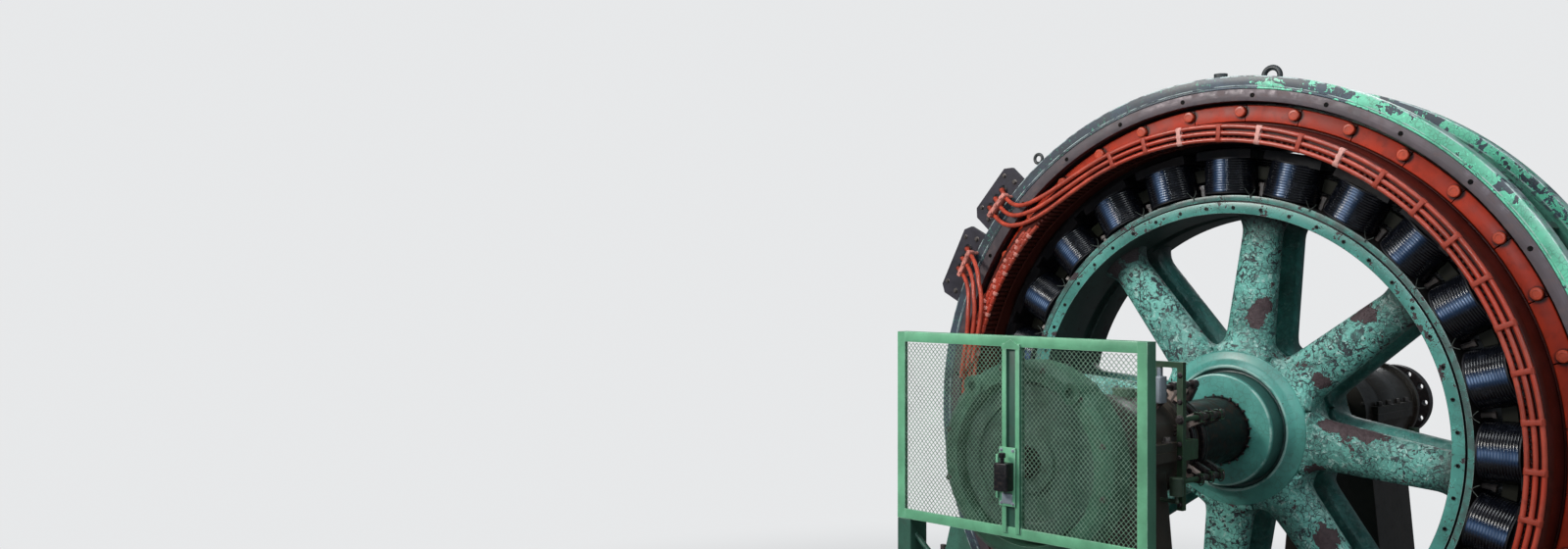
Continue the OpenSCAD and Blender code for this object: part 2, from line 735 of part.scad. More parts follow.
module bus_clamps() color("#d88a78") {
  for (i = [0 : rod_clamps - 1]) at(rod_clamp_phase + i * 360 / rod_clamps) difference() {
    translate([rod_run_r - rod_r - rod_clamp_t, -rod_clamp_w / 2, rod_y - rod_r - rod_clamp_t])
      cube([2 * (rod_pitch + rod_r + rod_clamp_t), rod_clamp_w, 2 * rod_r + rod_clamp_t]);
    for (k = [0 : 2]) translate([rod_run_r + k * rod_pitch, 0, rod_y])
      rotate([90, 0, 0]) cylinder(h = rod_clamp_w + 4, r = rod_r + 0.4, center = true, $fn = 24);
  }
}

// A flat board in the plane of the frame ring's front, outside the ring, with brackets behind it.
module board(a, l) {
  at(a) translate([0, 0, yf]) {
    linear_extrude(board_t) polygon([
      [ring_or - 60, -l / 2], [ring_or + board_h - board_cut, -l / 2], [ring_or + board_h, board_cut - l / 2],
      [ring_or + board_h, l / 2 - board_cut], [ring_or + board_h - board_cut, l / 2], [ring_or - 60, l / 2]
    ]);
    for (s = [-1, 1]) translate([ring_or - 60, s * l / 3 - board_bracket / 4, board_t - 1]) cube([60 + board_bracket, board_bracket / 2, board_bracket]);
  }
}

module terminal_boards() color("#2c2b31") {
  difference() {
    union() {
      board(board_up_a, board_up_l);
      board(board_low_a, board_low_l);
    }
    disc(ring_or, yf - 10, yr + 10, fn_big);
    for (a = [term_up_a, term_low_a], k = [-1 : 1]) at(a + k * term_pitch)
      translate([ring_or + term_off, 0, yf - 1]) cylinder(h = board_t + 2, r = term_r, $fn = fn_small);
  }
}

// A bus lead from rod k: it lies in front of the rods, sweeps out to a hole at an angle a and goes in.
function lead_points(k, a, turn) = let(
    r0 = rod_run_r + k * rod_pitch, r1 = ring_or + term_off, rc = wind_or + 2 * bus_lead_r,
    y0 = rod_y - rod_r - rod_clamp_t - 1.2 * bus_lead_r - 0.3, y1 = yf - 1.2 * bus_lead_r - 4
  ) concat(
    [pol(r0, a - turn, rod_y - rod_r)],
    [for (q = [0, 5, 15, 30, 45, 60, 75, 90]) let(r = r1 - (r1 - r0) * pow(cos(q), 0.65))
      pol(r, a - turn + turn * pow(sin(q), 0.65), y0 + (y1 - y0) * max(0, (r - rc) / (r1 - rc)))],
    [pol(r1, a, yf + board_t)]
  );

module bus_leads() color("#c23f28") {
  for (k = [0 : 2]) {
    rod_path(lead_points(k, term_up_a + (1 - k) * term_pitch, lead_up_sweep), bus_lead_r, 20);
    rod_path(lead_points(k, term_low_a - (1 - k) * term_pitch, -lead_low_sweep), bus_lead_r, 20);
  }
}

module lifting_eyes() color("#3b4644") {
  difference() {
    union() {
      at(90) translate([ring_or, 0, yr - flange_t / 2]) {
        translate([-6, 0, 0]) rotate([0, 90, 0]) cylinder(h = 26, r = 30, $fn = fn_small);
        translate([20 + eye_r + 2 * eye_bar_r - 6, 0, 0]) rotate_extrude($fn = fn_small)
          translate([eye_r + eye_bar_r, 0]) circle(r = eye_bar_r, $fn = 24);
      }
      at(90) translate([ring_or - 6, 0, yf + flange_t / 2]) rotate([0, 90, 0]) cylinder(h = 28, r = 34, $fn = fn_small);
      at(small_eye_a) translate([ring_or, 0, yf + flange_t / 2]) {
        translate([-6, 0, 0]) rotate([0, 90, 0]) cylinder(h = 20, r = 22, $fn = fn_small);
        translate([14 + 35 - 4, 0, 0]) rotate_extrude($fn = fn_small)
          translate([26, 0]) circle(r = 9, $fn = 24);
      }
    }
    disc(ring_or, yf - 10, yr + 10, fn_big);
  }
}

module foot_holes(extra) {
  for (s = [-1, 1], y = [-frame_w / 2 + 90, frame_w / 2 - 90])
    translate([s * (foot_reach - 80), y, foot_z - 1]) cylinder(h = sole_t + 2, r = foot_bolt_r + extra, $fn = fn_small);
}

module stator_feet() color("#4d8672") {
  difference() {
    for (s = [-1, 1]) {
      x0 = s > 0 ? foot_in - 90 : -foot_reach;
      box(x0, x0 + foot_reach - foot_in + 90, yf, yr, foot_z, foot_z + sole_t);
      for (k = [0 : webs - 1]) {
        y = yf + k * (frame_w - web_t) / (webs - 1);
        translate([0, y + web_t, 0]) rotate([90, 0, 0]) linear_extrude(web_t) polygon([
          [s * (foot_in - 130), foot_z + sole_t - 1], [s * (foot_reach - 150), foot_z + sole_t - 1],
          [s * (foot_in + 170), foot_z + foot_h], [s * (foot_in - 60), foot_z + foot_h]
        ]);
      }
    }
    disc(ring_or, yf - 10, yr + 10, fn_big);
    foot_holes(foot_bolt_clear);
  }
}

module foot_bolts() color("#5d574f") {
  for (s = [-1, 1], y = [-frame_w / 2 + 90, frame_w / 2 - 90]) translate([s * (foot_reach - 80), y, 0]) {
    translate([0, 0, foot_z]) cylinder(h = sole_t + 70, r = foot_bolt_r, $fn = fn_small);
    translate([0, 0, foot_z + sole_t]) cylinder(h = 30, r = 2 * foot_bolt_r, $fn = 6);
  }
}

module column(ym, top) {
  translate([0, ym + ped_l / 2, 0]) rotate([90, 0, 0]) linear_extrude(ped_l) polygon([
    [-ped_base_w, top + ped_base_t - 1], [ped_base_w, top + ped_base_t - 1],
    [ped_top_w, axis_z - 60], [-ped_top_w, axis_z - 60]
  ]);
}

// The lower half of a bearing housing, its column and its plate, for a housing from y0 to y1.
module pedestal(y0, y1, top) {
  ym = (y0 + y1) / 2;
  difference() {
    union() {
      difference() {
        union() {
          disc(brg_r, y0, y1);
          disc(brg_flange_r, y0, y0 + brg_flange_t);
          disc(brg_flange_r, y1 - brg_flange_t, y1);
        }
        box(-2 * brg_flange_r, 2 * brg_flange_r, y0 - 10, y1 + 10, axis_z, axis_z + 2 * brg_flange_r);
      }
      column(ym, top);
      box(-ped_plate_w, ped_plate_w, ym - ped_plate_l / 2, ym + ped_plate_l / 2, top, top + ped_base_t);
      for (s = [-1, 1]) box(s > 0 ? brg_r - 20 : -brg_r - 34, s > 0 ? brg_r + 34 : -brg_r + 20, ym - ped_l / 2, ym + ped_l / 2, axis_z - 46, axis_z);
    }
    disc(bush_or, y0 - 1, y1 + 1);
  }
}

module bearing_cap(y0, y1) {
  ym = (y0 + y1) / 2;
  difference() {
    union() {
      disc(brg_r, y0, y1);
      disc(brg_flange_r, y0, y0 + brg_flange_t);
      disc(brg_flange_r, y1 - brg_flange_t, y1);
      turned([[brg_r - 20, ym - 150], [brg_r + 14, ym - 110], [brg_r + 22, ym], [brg_r + 14, ym + 110], [brg_r - 20, ym + 150]]);
      for (s = [-1, 1]) box(s > 0 ? brg_r - 20 : -brg_r - 34, s > 0 ? brg_r + 34 : -brg_r + 20, ym - ped_l / 2, ym + ped_l / 2, axis_z, axis_z + 40);
    }
    box(-2 * brg_flange_r, 2 * brg_flange_r, y0 - 10, y1 + 10, axis_z - 2 * brg_flange_r, axis_z);
    disc(bush_or, y0 - 1, y1 + 1);
  }
}

module front_pedestal() color("#6f7355") pedestal(fb_y0, fb_y1, pier_z);

module rear_pedestal() color("#6f7355") pedestal(rb_y0, rb_y1, pier_z);

module front_bearing_cap() color("#7c7458") bearing_cap(fb_y0, fb_y1);

module rear_bearing_cap() color("#7c7458") bearing_cap(rb_y0, rb_y1);

module front_bush() color("#8d8471") tube(journal_r + brg_clear, bush_or, fb_y0, fb_y1);

module rear_bush() color("#8d8471") tube(journal_r + brg_clear, bush_or, rb_y0, rb_y1);

module oil_fittings() color("#54705c") {
  for (b = [fb_y0, rb_y0]) {
    ym = b + brg_len / 2;
    difference() {
      for (y = [b + oil_cover_in, b + brg_len - oil_cover_in]) translate([0, y, axis_z + bush_or + 20])
        cylinder(h = brg_r - bush_or - 20 + oil_cover_h, r = oil_cover_r, $fn = fn_small);
      disc(brg_r, b - 1, b + brg_len + 1);
    }
    difference() {
      for (s = [-1, 1]) translate([brg_r + 34 + oil_cup_r, ym + s * (ped_l / 2 - oil_cup_in), axis_z - oil_cup_drop]) {
        cylinder(h = oil_cup_h, r = oil_cup_r, $fn = fn_small);
        translate([0, 0, -30]) cylinder(h = 30, r = 8, $fn = 24);
        translate([-brg_r / 2, 0, -26]) rotate([0, 90, 0]) cylinder(h = brg_r / 2, r = 10, $fn = 24);
        translate([0, 0, -26]) sphere(r = 12, $fn = 24);
      }
      column(ym, pier_z);
    }
  }
}

// An upright on the bearing's flange, with two studs that carry a brush arm for each slip ring.
module brush_gear() color("#3d5c48") {
  pitch = (slip_len - 12 - slip_w) / (slip_count - 1);
  x = brush_x + brush_w / 2;
  y0 = fb_y1 - brush_back - brush_d;
  ys = slip_y0 + 12 + slip_w / 2;
  difference() {
    union() {
      box(brush_x, brush_x + brush_w, y0, y0 + brush_d, axis_z - brush_down, axis_z + brush_up);
      box(brush_x - 150, brush_x + brush_w, y0, y0 + brush_d, axis_z + brush_up, axis_z + brush_up + 26);
      box(brush_x, brush_x + brush_w, y0, fb_y1, axis_z - brush_bracket, axis_z + brush_bracket);
      box(brg_r, brush_x + 1, fb_y1 - brg_flange_t, fb_y1, axis_z - brush_bracket, axis_z + brush_bracket);
    }
    disc(brg_flange_r, fb_y0, fb_y1 + 1);
  }
  for (z = [brush_stud, -brush_stud]) {
    rr = slip_r + brush_clear;
    translate([x, y0 + brush_d - 1, axis_z + z]) rotate([-90, 0, 0]) cylinder(h = slip_y1 - y0 - brush_d - 8, r = 12, $fn = 24);
    for (i = [0 : slip_count - 1]) {
      y = ys + i * pitch;
      box(x - 20, x + 20, y - 14, y + 14, axis_z + z - 22, axis_z + z + 22);
      rod([x, y, axis_z + z], [rr * x / norm([x, z]), y, axis_z + rr * z / norm([x, z])], 12, 24);
    }
  }
}

module exciter_frame() color("#4f8468") {
  difference() {
    union() {
      turned([
        [bush_or + 14, exc_back_y0], [exc_ir, exc_back_y0], [exc_ir, exc_y0], [exc_or - 26, exc_y0],
        [exc_or, exc_y0 + 22], [exc_or, exc_back_y1 - 12], [exc_or - 12, exc_back_y1], [bush_or + 14, exc_back_y1]
      ], fn_big);
      for (s = [-1, 1]) at(90 + s * exc_boss_a) translate([(exc_or + exc_ir) / 2 + 6, 0, exc_y0 - 20])
        cylinder(h = exc_l + 20, r = exc_boss_r, $fn = fn_small);
    }
    for (s = [-1, 1]) at(90 + s * exc_boss_a) translate([(exc_or + exc_ir) / 2 + 6, 0, exc_y0 - 21])
      cylinder(h = 30, r = exc_boss_r * 0.5, $fn = fn_small);
    disc(exc_ir, exc_y0 - 60, exc_back_y0, fn_big);
  }
}

module guard_frame() color("#7fbf9b") {
  z0 = axis_z - guard_bottom;
  z1 = axis_z + guard_top;
  for (x = [-guard_left, guard_right - guard_bar]) box(x, x + guard_bar, guard_y, guard_y + guard_d, z0, z1);
  box(-guard_left + guard_bar, guard_right - guard_bar, guard_y, guard_y + guard_d, z1 - guard_bar, z1);
  box(-guard_left + guard_bar, guard_right - guard_bar, guard_y, guard_y + guard_d, z0, z0 + guard_bar);
  xm = (guard_right - guard_left) / 2;
  for (x = [xm - 44, xm + 22]) box(x, x + 22, guard_y - 8, guard_y + 14, z0 + guard_bar, z1 - guard_bar);
  box(xm - 22, xm + 22, guard_y + 4, guard_y + 10, z0 + guard_bar, z1 - guard_bar);
  box(xm - 52, xm + 30, guard_y - 66, guard_y - 8, axis_z - 150, axis_z + 90);
}

module guard_mesh() color("#5d8a72") {
  z0 = axis_z - guard_bottom + guard_bar;
  z1 = axis_z + guard_top - guard_bar;
  xm = (guard_right - guard_left) / 2;
  box(-guard_left + guard_bar, xm - 44, guard_y + 6, guard_y + 6 + mesh_t, z0, z1);
  box(xm + 44, guard_right - guard_bar, guard_y + 6, guard_y + 6 + mesh_t, z0, z1);
}

module guard_legs() color("#2f4a43") {
  z1 = axis_z - guard_bottom;
  for (x = [-guard_left, guard_right - leg_w]) {
    box(x, x + leg_w, guard_y, guard_y + guard_d, floor_z + 12, z1);
    box(x - 22, x + leg_w + 22, guard_y - 22, guard_y + guard_d + 22, floor_z, floor_z + 12);
  }
}

module guard_braces() color("#3c5a50") {
  z1 = axis_z - guard_bottom;
  x0 = -guard_left + leg_w;
  x1 = guard_right - leg_w;
  intersection() {
    union() {
      rod([x0 - 20, guard_y + 20, floor_z + 90], [x1 + 20, guard_y + 20, z1 - 60], brace_r);
      rod([x0 - 20, guard_y + 20 + 2 * brace_r + 0.3, z1 - 60], [x1 + 20, guard_y + 20 + 2 * brace_r + 0.3, floor_z + 90], brace_r);
    }
    box(x0, x1, guard_y, guard_y + guard_d, floor_z, z1);
  }
}

module base_slab() color("#8d8a84") {
  box(-slab_x, slab_x, -slab_arm_y, slab_arm_y, 0, slab_t);
  box(-slab_arm_x, slab_arm_x, -slab_y, slab_y, 0, slab_t);
}

module stator_plinths() color("#97938b") {
  for (s = [-1, 1]) {
    x0 = s > 0 ? plinth_in : -plinth_out;
    box(x0, x0 + plinth_out - plinth_in, -plinth_y, plinth_y, slab_t, foot_z);
  }
}

module front_pier() color("#8f8b84") {
  box(-guard_left - 60, guard_right + 60, guard_y - 60, fp_y1 + 40, slab_t, floor_z);
  box(-pier_w, pier_w, fp_y0, fp_y1, floor_z, pier_z);
}

module rear_pier() color("#8f8b84") box(-pier_w, pier_w, rp_y0, rp_y1, slab_t, pier_z);

shaft();
slip_ring_bush();
slip_rings();
coupling_flange();
rotor_hub();
front_arms();
rear_arms();
rotor_rim();
rim_bolts();
pole_bodies();
field_coils();
coil_wedges();
field_leads();
armature();
front_frame_ring();
rear_frame_ring();
front_face_ring();
rear_face_ring();
frame_ribs();
stator_core();
front_clamp_ring();
rear_clamp_ring();
clamp_bolts();
front_winding();
rear_winding();
bus_rods();
bus_clamps();
terminal_boards();
bus_leads();
lifting_eyes();
stator_feet();
foot_bolts();
front_pedestal();
front_bearing_cap();
front_bush();
rear_pedestal();
rear_bearing_cap();
rear_bush();
oil_fittings();
brush_gear();
exciter_frame();
guard_frame();
guard_mesh();
guard_legs();
guard_braces();
base_slab();
stator_plinths();
front_pier();
rear_pier();
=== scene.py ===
"""Hydroelectric generator rotor in its stator: display pieces, finishes, stage and camera over the solids."""

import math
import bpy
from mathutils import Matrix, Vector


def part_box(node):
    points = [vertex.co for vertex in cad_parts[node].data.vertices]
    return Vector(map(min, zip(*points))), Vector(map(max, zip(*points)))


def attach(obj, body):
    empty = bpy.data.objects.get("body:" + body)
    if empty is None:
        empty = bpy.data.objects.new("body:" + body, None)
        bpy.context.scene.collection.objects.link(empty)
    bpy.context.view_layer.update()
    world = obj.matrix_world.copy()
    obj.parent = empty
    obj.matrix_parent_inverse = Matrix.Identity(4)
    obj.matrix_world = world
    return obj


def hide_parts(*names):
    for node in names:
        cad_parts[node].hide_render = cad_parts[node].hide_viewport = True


bl_info = {
    "name": "Hydroelectric generator rotor",
    "version": (1, 0, 0),
    "blender": (4, 5, 0),
    "location": "View3D > Sidebar > Generator",
    "description": "Builds the display pieces of a salient-pole rotor that turns in its stator",
    "category": "Object",
}

import bmesh
import bpy
from bpy.props import FloatProperty, FloatVectorProperty, IntProperty, PointerProperty
from mathutils import Matrix, Vector

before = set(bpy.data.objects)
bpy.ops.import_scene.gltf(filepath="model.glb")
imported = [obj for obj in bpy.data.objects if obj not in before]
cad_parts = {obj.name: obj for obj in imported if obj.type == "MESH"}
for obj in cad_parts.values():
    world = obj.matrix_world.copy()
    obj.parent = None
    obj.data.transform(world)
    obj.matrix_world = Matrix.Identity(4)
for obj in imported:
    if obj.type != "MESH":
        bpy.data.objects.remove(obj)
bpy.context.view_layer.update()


def span(node):
    """Lowest and highest corner of a CAD node, as vectors."""
    low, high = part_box(node)
    return Vector(low), Vector(high)


AXIS = sum(c.z for c in span("front_frame_ring")) / 2

# Radii round the shaft, and places along it from the stator's middle, in metres.
HUB_BORE, HUB_BOSS, HUB_LIP, HUB_LIP_OUT, HUB_OUT = 0.1665, 0.286, 0.310, 0.326, 0.401
HUB_END, HUB_LIP_END, HUB_MIDDLE = -0.315, -0.216, 0.057
HOLLOW = 0.430
RIM_IN, RIM_GROOVE, RIM_BAND, RIM_OUT, RIM_FACE = 1.107, 1.166, 1.172, 1.202, 0.272
CORE_IN, CORE_OUT, CORE_HALF = 1.450, 1.650, 0.220
CLAMP_IN, CLAMP_OUT = 1.572, 1.656
FACE_IN, FACE_OUT, FACE_MIDDLE = 1.673, 1.733, 1.702
LEDGE, FRAME_GROOVE, FRAME_OUT, FRAME_FACE = 1.734, 1.7465, 1.800, 0.3275
TERMINAL = 1.862
COIL_WIDTH, COIL_LONG, COIL_IN, COIL_OUT = 0.2747, 0.594, 1.218, 1.386
SLIP_RINGS, SLIP_HALF = (-1.0315, -0.939, -0.8465), 0.023
BRUSH_ACROSS, BRUSH_UP = 0.276, 0.140
# Leads of each terminal board: middle angle, way they fan out, and how far a lead runs. Then the leads' step.
LEADS, LEAD_STEP = ((138.2, 1, 23), (151.4, -1, -19.4)), 2.05
# Middles of the large bare patches on the front arms: x, y, height over the axis and reach.
BARE_PATCHES = (
    (0.75, -0.135, 0.045, 0.085), (0.67, -0.135, 0.050, 0.095), (0.58, -0.135, 0.055, 0.095),
    (0.50, -0.135, 0.060, 0.085), (0.12, -0.15, 0.56, 0.085), (0.15, -0.15, 0.62, 0.075),
    (-0.62, -0.15, 0.92, 0.10), (-0.71, -0.14, 0.86, 0.08), (0.66, -0.15, 0.62, 0.10),
    (0.43, -0.14, -0.20, 0.09), (0.50, -0.15, -0.52, 0.10), (0.45, -0.12, 0.27, 0.07),
)


def tint(code):
    """Linear colour from a six-figure screen colour."""
    parts = [int(code[i:i + 2], 16) / 255 for i in (0, 2, 4)]
    return tuple(c / 12.92 if c <= 0.04045 else ((c + 0.055) / 1.055) ** 2.4 for c in parts)


def shade(rgb, factor):
    return tuple(min(1.0, c * factor) for c in rgb[:3])


def blend(a, b, t):
    return tuple(x * (1 - t) + y * t for x, y in zip(a[:3], b[:3]))


def length(name, text, value, low=0.0, high=5.0):
    return FloatProperty(name=name, description=text, default=value, min=low, max=high, unit="LENGTH",
                         subtype="DISTANCE")


def angle(name, text, degrees):
    return FloatProperty(name=name, description=text, default=math.radians(degrees), unit="ROTATION",
                         subtype="ANGLE")


def colour(name, text, code):
    return FloatVectorProperty(name=name, description=text, default=tint(code), size=3, min=0, max=1,
                               subtype="COLOR")


class GeneratorSizes(bpy.types.PropertyGroup):
    """Sizes of the display pieces."""

    arms: IntProperty(name="Arms", description="Arms in each of the wheel's two rows", default=8, min=3,
                      max=16)
    arm_angle: angle("Arm angle", "Angle of the first arm above the horizontal", 38)
    front_row: length("Front row", "Place of the front row of arms along the shaft", -0.0755, -1, 1)
    rear_row: length("Rear row", "Place of the rear row of arms along the shaft", 0.1895, -1, 1)
    arm_width: length("Arm width", "Half width of an arm near its middle", 0.103)
    arm_depth: length("Arm depth", "Half thickness of an arm along the shaft", 0.072)
    poles: IntProperty(name="Poles", description="Poles of the rotor", default=24, min=4, max=48)
    coil_turns: IntProperty(name="Coil turns", description="Turns of strip in each field coil", default=13,
                            min=4, max=30)
    bolts: IntProperty(name="Clamp bolts", description="Bolts round each clamp ring", default=36, min=8,
                       max=72)
    bolt_angle: angle("Bolt angle", "Angle of the first clamp bolt and of the first rib", 6)
    bolt_circle: length("Bolt circle", "Pitch circle radius of the clamp bolts", 1.622)
    knuckles: IntProperty(name="Coil noses", description="Coil noses round each end winding", default=300,
                          min=36, max=400)
    rod: length("Bus rod", "Radius of a bus rod", 0.012)
    rod_run: length("Bus rod run", "Radius of the innermost bus rod's run", 1.468)
    rod_pitch: length("Bus rod pitch", "Distance between two bus rods", 0.034)
    rod_place: length("Bus rod place", "Place of the bus rods along the shaft", -0.460, -2, 2)
    lead: length("Bus lead", "Radius of a bus lead", 0.0125)
    mesh_width: length("Mesh width", "Width of one diamond of the guard's mesh", 0.021)
    mesh_height: length("Mesh height", "Height of one diamond of the guard's mesh", 0.0115)


class GeneratorColours(bpy.types.PropertyGroup):
    """Colours of the paints, enamels and metals."""

    arm_paint: colour("Arm paint", "Pale weathered paint of the arms", "69ada1")
    wheel_paint: colour("Wheel paint", "Smooth paint of the hub and the rim", "50988d")
    bare: colour("Bare casting", "Metal under the lost paint", "473a3e")
    frame_paint: colour("Frame paint", "Gloss paint of the stator's frame rings", "5fc4a0")
    frame_under: colour("Frame undercoat", "Slate undercoat of the frame rings", "3a4654")
    face: colour("Face ring", "Stained machined face", "51484d")
    enamel: colour("Insulating enamel", "Red enamel of the clamp rings and windings", "ab2f14")
    deep_enamel: colour("Deep enamel", "Darker enamel inside the windings", "4a1712")
    rod_enamel: colour("Rod enamel", "Pinkish red of the bus rods", "aa402c")
    tape: colour("Tape", "Pale varnished tape on the bus rods", "dfa69c")
    coil: colour("Coil varnish", "Black gloss varnish of the field coils", "0c0e14")
    slate: colour("Slate", "Terminal boards", "2f2d36")
    guard_paint: colour("Guard paint", "Fresh green paint of the guard", "69ae86")
    # guard_dark is also the painted shade on the guard's faces that point along +x.
    guard_dark: colour("Guard shade", "Dark green of the guard's legs and braces", "2f5a4b")
    bearing_paint: colour("Bearing paint", "Grimy olive of the bearings", "382f28")
    shaft: colour("Shaft", "Oiled dark steel", "151214")
    concrete: colour("Concrete", "Foundation", "aaa69d")


def sizes():
    return bpy.context.scene.generator_sizes


# Meshes

def linked(name, data):
    """A new object in the scene."""
    thing = bpy.data.objects.new(name, data)
    bpy.context.scene.collection.objects.link(thing)
    return thing


def smoothed(mesh, sharp):
    """Shade a mesh smooth up to an angle in degrees."""
    mesh.shade_smooth()
    mesh.set_sharp_from_angle(angle=math.radians(sharp))


def mesh_from(work):
    """A mesh from a bmesh, which is freed."""
    mesh = bpy.data.meshes.new("shape")
    work.to_mesh(mesh)
    work.free()
    return mesh


def merged(shapes):
    """One mesh from a list of meshes. A mesh on its own stays as it is."""
    if not isinstance(shapes, list):
        return shapes
    work = bmesh.new()
    for mesh in shapes:
        work.from_mesh(mesh)
        bpy.data.meshes.remove(mesh)
    return mesh_from(work)


def piece(name, shape, material, sharp=35):
    """A mesh, or a list of them, as an object at the origin."""
    mesh = merged(shape)
    mesh.name = name
    mesh.materials.clear()
    mesh.materials.append(material)
    smoothed(mesh, sharp)
    return linked(name, mesh)


def settle(thing, body, slot, *nodes):
    """Let a piece ride on a body and stand for CAD nodes, which it hides. The slot is not used."""
    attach(thing, body)
    if nodes:
        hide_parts(*nodes)
    return thing


def skin(rows, n, closed=False):
    """Faces between rows of n points, with a cap at both ends unless the rows close to a loop."""
    faces = [(k * n + i, k * n + (i + 1) % n, (k + 1) % rows * n + (i + 1) % n, (k + 1) % rows * n + i)
             for k in range(rows if closed else rows - 1) for i in range(n)]
    return faces if closed else faces + [tuple(range(n))[::-1], tuple(range((rows - 1) * n, rows * n))]


def mesh_of(points, faces):
    """A clean mesh with its normals outward."""
    mesh = bpy.data.meshes.new("shape")
    mesh.from_pydata([tuple(p) for p in points], [], faces)
    work = bmesh.new()
    work.from_mesh(mesh)
    bpy.data.meshes.remove(mesh)
    bmesh.ops.remove_doubles(work, verts=work.verts, dist=1e-6)
    bmesh.ops.dissolve_degenerate(work, edges=work.edges, dist=1e-7)
    bmesh.ops.recalc_face_normals(work, faces=work.faces)
    return mesh_from(work)


def eased(points, radius, steps):
    """A closed outline with its corners rounded."""
    result = []
    for i, point in enumerate(points):
        here = Vector(point)
        ways = [Vector(other) - here for other in (points[i - 1], points[(i + 1) % len(points)])]
        start, end = (here + way.normalized() * min(radius, 0.45 * way.length) for way in ways)
        for k in range(steps + 1):
            w = k / steps
            result.append(start * (1 - w) ** 2 + here * 2 * w * (1 - w) + end * w * w)
    return result


def mirrored(points, middle=0.0):
    """One half of an outline of (radius, along), followed by its mirror image about a middle."""
    return list(points) + [(r, 2 * middle - y) for r, y in reversed(points)]


def sided(side, points):
    """An outline of (radius, along) on the front (-1) or the rear (1) of the stator."""
    return [(r, side * y) for r, y in points]


def turned(outline, around=192, ease=0.0, bends=2):
    """A closed outline of (radius, along), eased when a radius is given, turned round the shaft's axis."""
    outline = eased(outline, ease, bends) if ease else outline
    turns = [2 * math.pi * k / around for k in range(around)]
    points = [(r * math.cos(a), y, AXIS + r * math.sin(a)) for a in turns for r, y in outline]
    return mesh_of(points, skin(around, len(outline), True))


def block(corner, other, ease=0.004, steps=2):
    """A box between two opposite corners, with rounded edges."""
    low, high = (Vector([pick(pair) for pair in zip(corner, other)]) for pick in (min, max))
    size = high - low
    work = bmesh.new()
    bmesh.ops.create_cube(work, size=1)
    for vert in work.verts:
        vert.co = low + Vector([(vert.co[i] + 0.5) * size[i] for i in range(3)])
    if ease:
        bmesh.ops.bevel(work, geom=work.edges[:], offset=min(ease, min(size) * 0.45), segments=steps,
                        profile=0.5, affect="EDGES", clamp_overlap=True)
    return mesh_from(work)


def circle(radius, sides):
    turns = [2 * math.pi * k / sides for k in range(sides)]
    return [(radius * math.cos(a), radius * math.sin(a)) for a in turns]


def stack(centre, way, rings, sides=16):
    """A turned part of its own: rings of (height, radius) up a line from centre along way."""
    centre, way = Vector(centre), Vector(way).normalized()
    side = way.orthogonal().normalized()
    other = way.cross(side)
    points = [centre + way * height + (side * u + other * v)
              for height, radius in rings for u, v in circle(max(radius, 1e-5), sides)]
    return mesh_of(points, skin(len(rings), sides))


def bolt(centre, way, radius, height):
    """A hexagonal head with a chamfered top on a washer."""
    washer = [(0, radius * 1.35), (height * 0.14, radius * 1.35), (height * 0.16, radius * 1.3)]
    head = [(height * 0.15, radius), (height * 0.86, radius), (height, radius * 0.84)]
    return merged([stack(centre, way, washer, 20), stack(centre, way, head, 6)])


def curve_through(points, steps):
    """Smooth points through the given ones."""
    pts = [Vector(p) for p in points]
    pts = [pts[0] * 2 - pts[1]] + pts + [pts[-1] * 2 - pts[-2]]
    result = []
    for i in range(1, len(pts) - 2):
        a, b, c, d = pts[i - 1:i + 3]
        for k in range(steps):
            t = k / steps
            bend = (2 * a - 5 * b + 4 * c - d) * t * t + (3 * b - a - 3 * c + d) * t ** 3
            result.append(0.5 * (2 * b + (c - a) * t + bend))
    return result + [pts[-2]]


def tube(points, radius, sides=12):
    """A round bar along points, closed at its ends, with its length stored in its UV map."""
    points = [Vector(p) for p in points]
    n = len(points)
    side = (points[1] - points[0]).normalized().orthogonal().normalized()
    ring, run, at = [], [], 0.0
    for i, p in enumerate(points):
        ahead = (points[min(i + 1, n - 1)] - points[max(i - 1, 0)]).normalized()
        side = (side - ahead * side.dot(ahead)).normalized()
        other = ahead.cross(side)
        ring += [tuple(p + side * u + other * v) for u, v in circle(radius, sides)]
        at += (p - points[i - 1]).length if i else 0
        run.append(at)
    mesh = bpy.data.meshes.new("shape")
    mesh.from_pydata(ring, [], skin(n, sides))
    layer = mesh.uv_layers.new(name="along")
    for loop in mesh.loops:
        layer.data[loop.index].uv = (run[loop.vertex_index // sides], loop.vertex_index % sides / sides)
    work = bmesh.new()
    work.from_mesh(mesh)
    bmesh.ops.recalc_face_normals(work, faces=work.faces)
    return mesh_from(work)


def softened(name, node, material, ease=0.004, steps=2):
    """A copy of a CAD node with merged corners and rounded edges."""
    work = bmesh.new()
    work.from_mesh(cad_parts[node].data)
    bmesh.ops.remove_doubles(work, verts=work.verts, dist=2e-5)
    bmesh.ops.dissolve_limit(work, angle_limit=math.radians(1.5), verts=work.verts, edges=work.edges)
    thing = piece(name, mesh_from(work), material)
    if ease:
        bevel = thing.modifiers.new("edges", "BEVEL")
        bevel.width, bevel.segments = ease, steps
        bevel.limit_method, bevel.angle_limit = "ANGLE", math.radians(40)
        bevel.harden_normals = True
        bevel.miter_outer = "MITER_ARC"
    return thing


# Node trees

def found(sockets, key):
    """A socket by its place, or by its name among the sockets in use."""
    return next((s for s in sockets if s.name == key and s.enabled), None) or sockets[key]


class Wire:
    """An output of a node. Sums and products of wires make math nodes."""

    def __init__(self, board, socket):
        self.board, self.socket = board, socket

    def __getitem__(self, name):
        return Wire(self.board, found(self.socket.node.outputs, name))

    def __add__(self, other):
        return self.board.math("ADD", self, other)

    def __sub__(self, other):
        return self.board.math("SUBTRACT", self, other)

    def __mul__(self, other):
        return self.board.math("MULTIPLY", self, other)

    def __abs__(self):
        return self.board.math("ABSOLUTE", self)


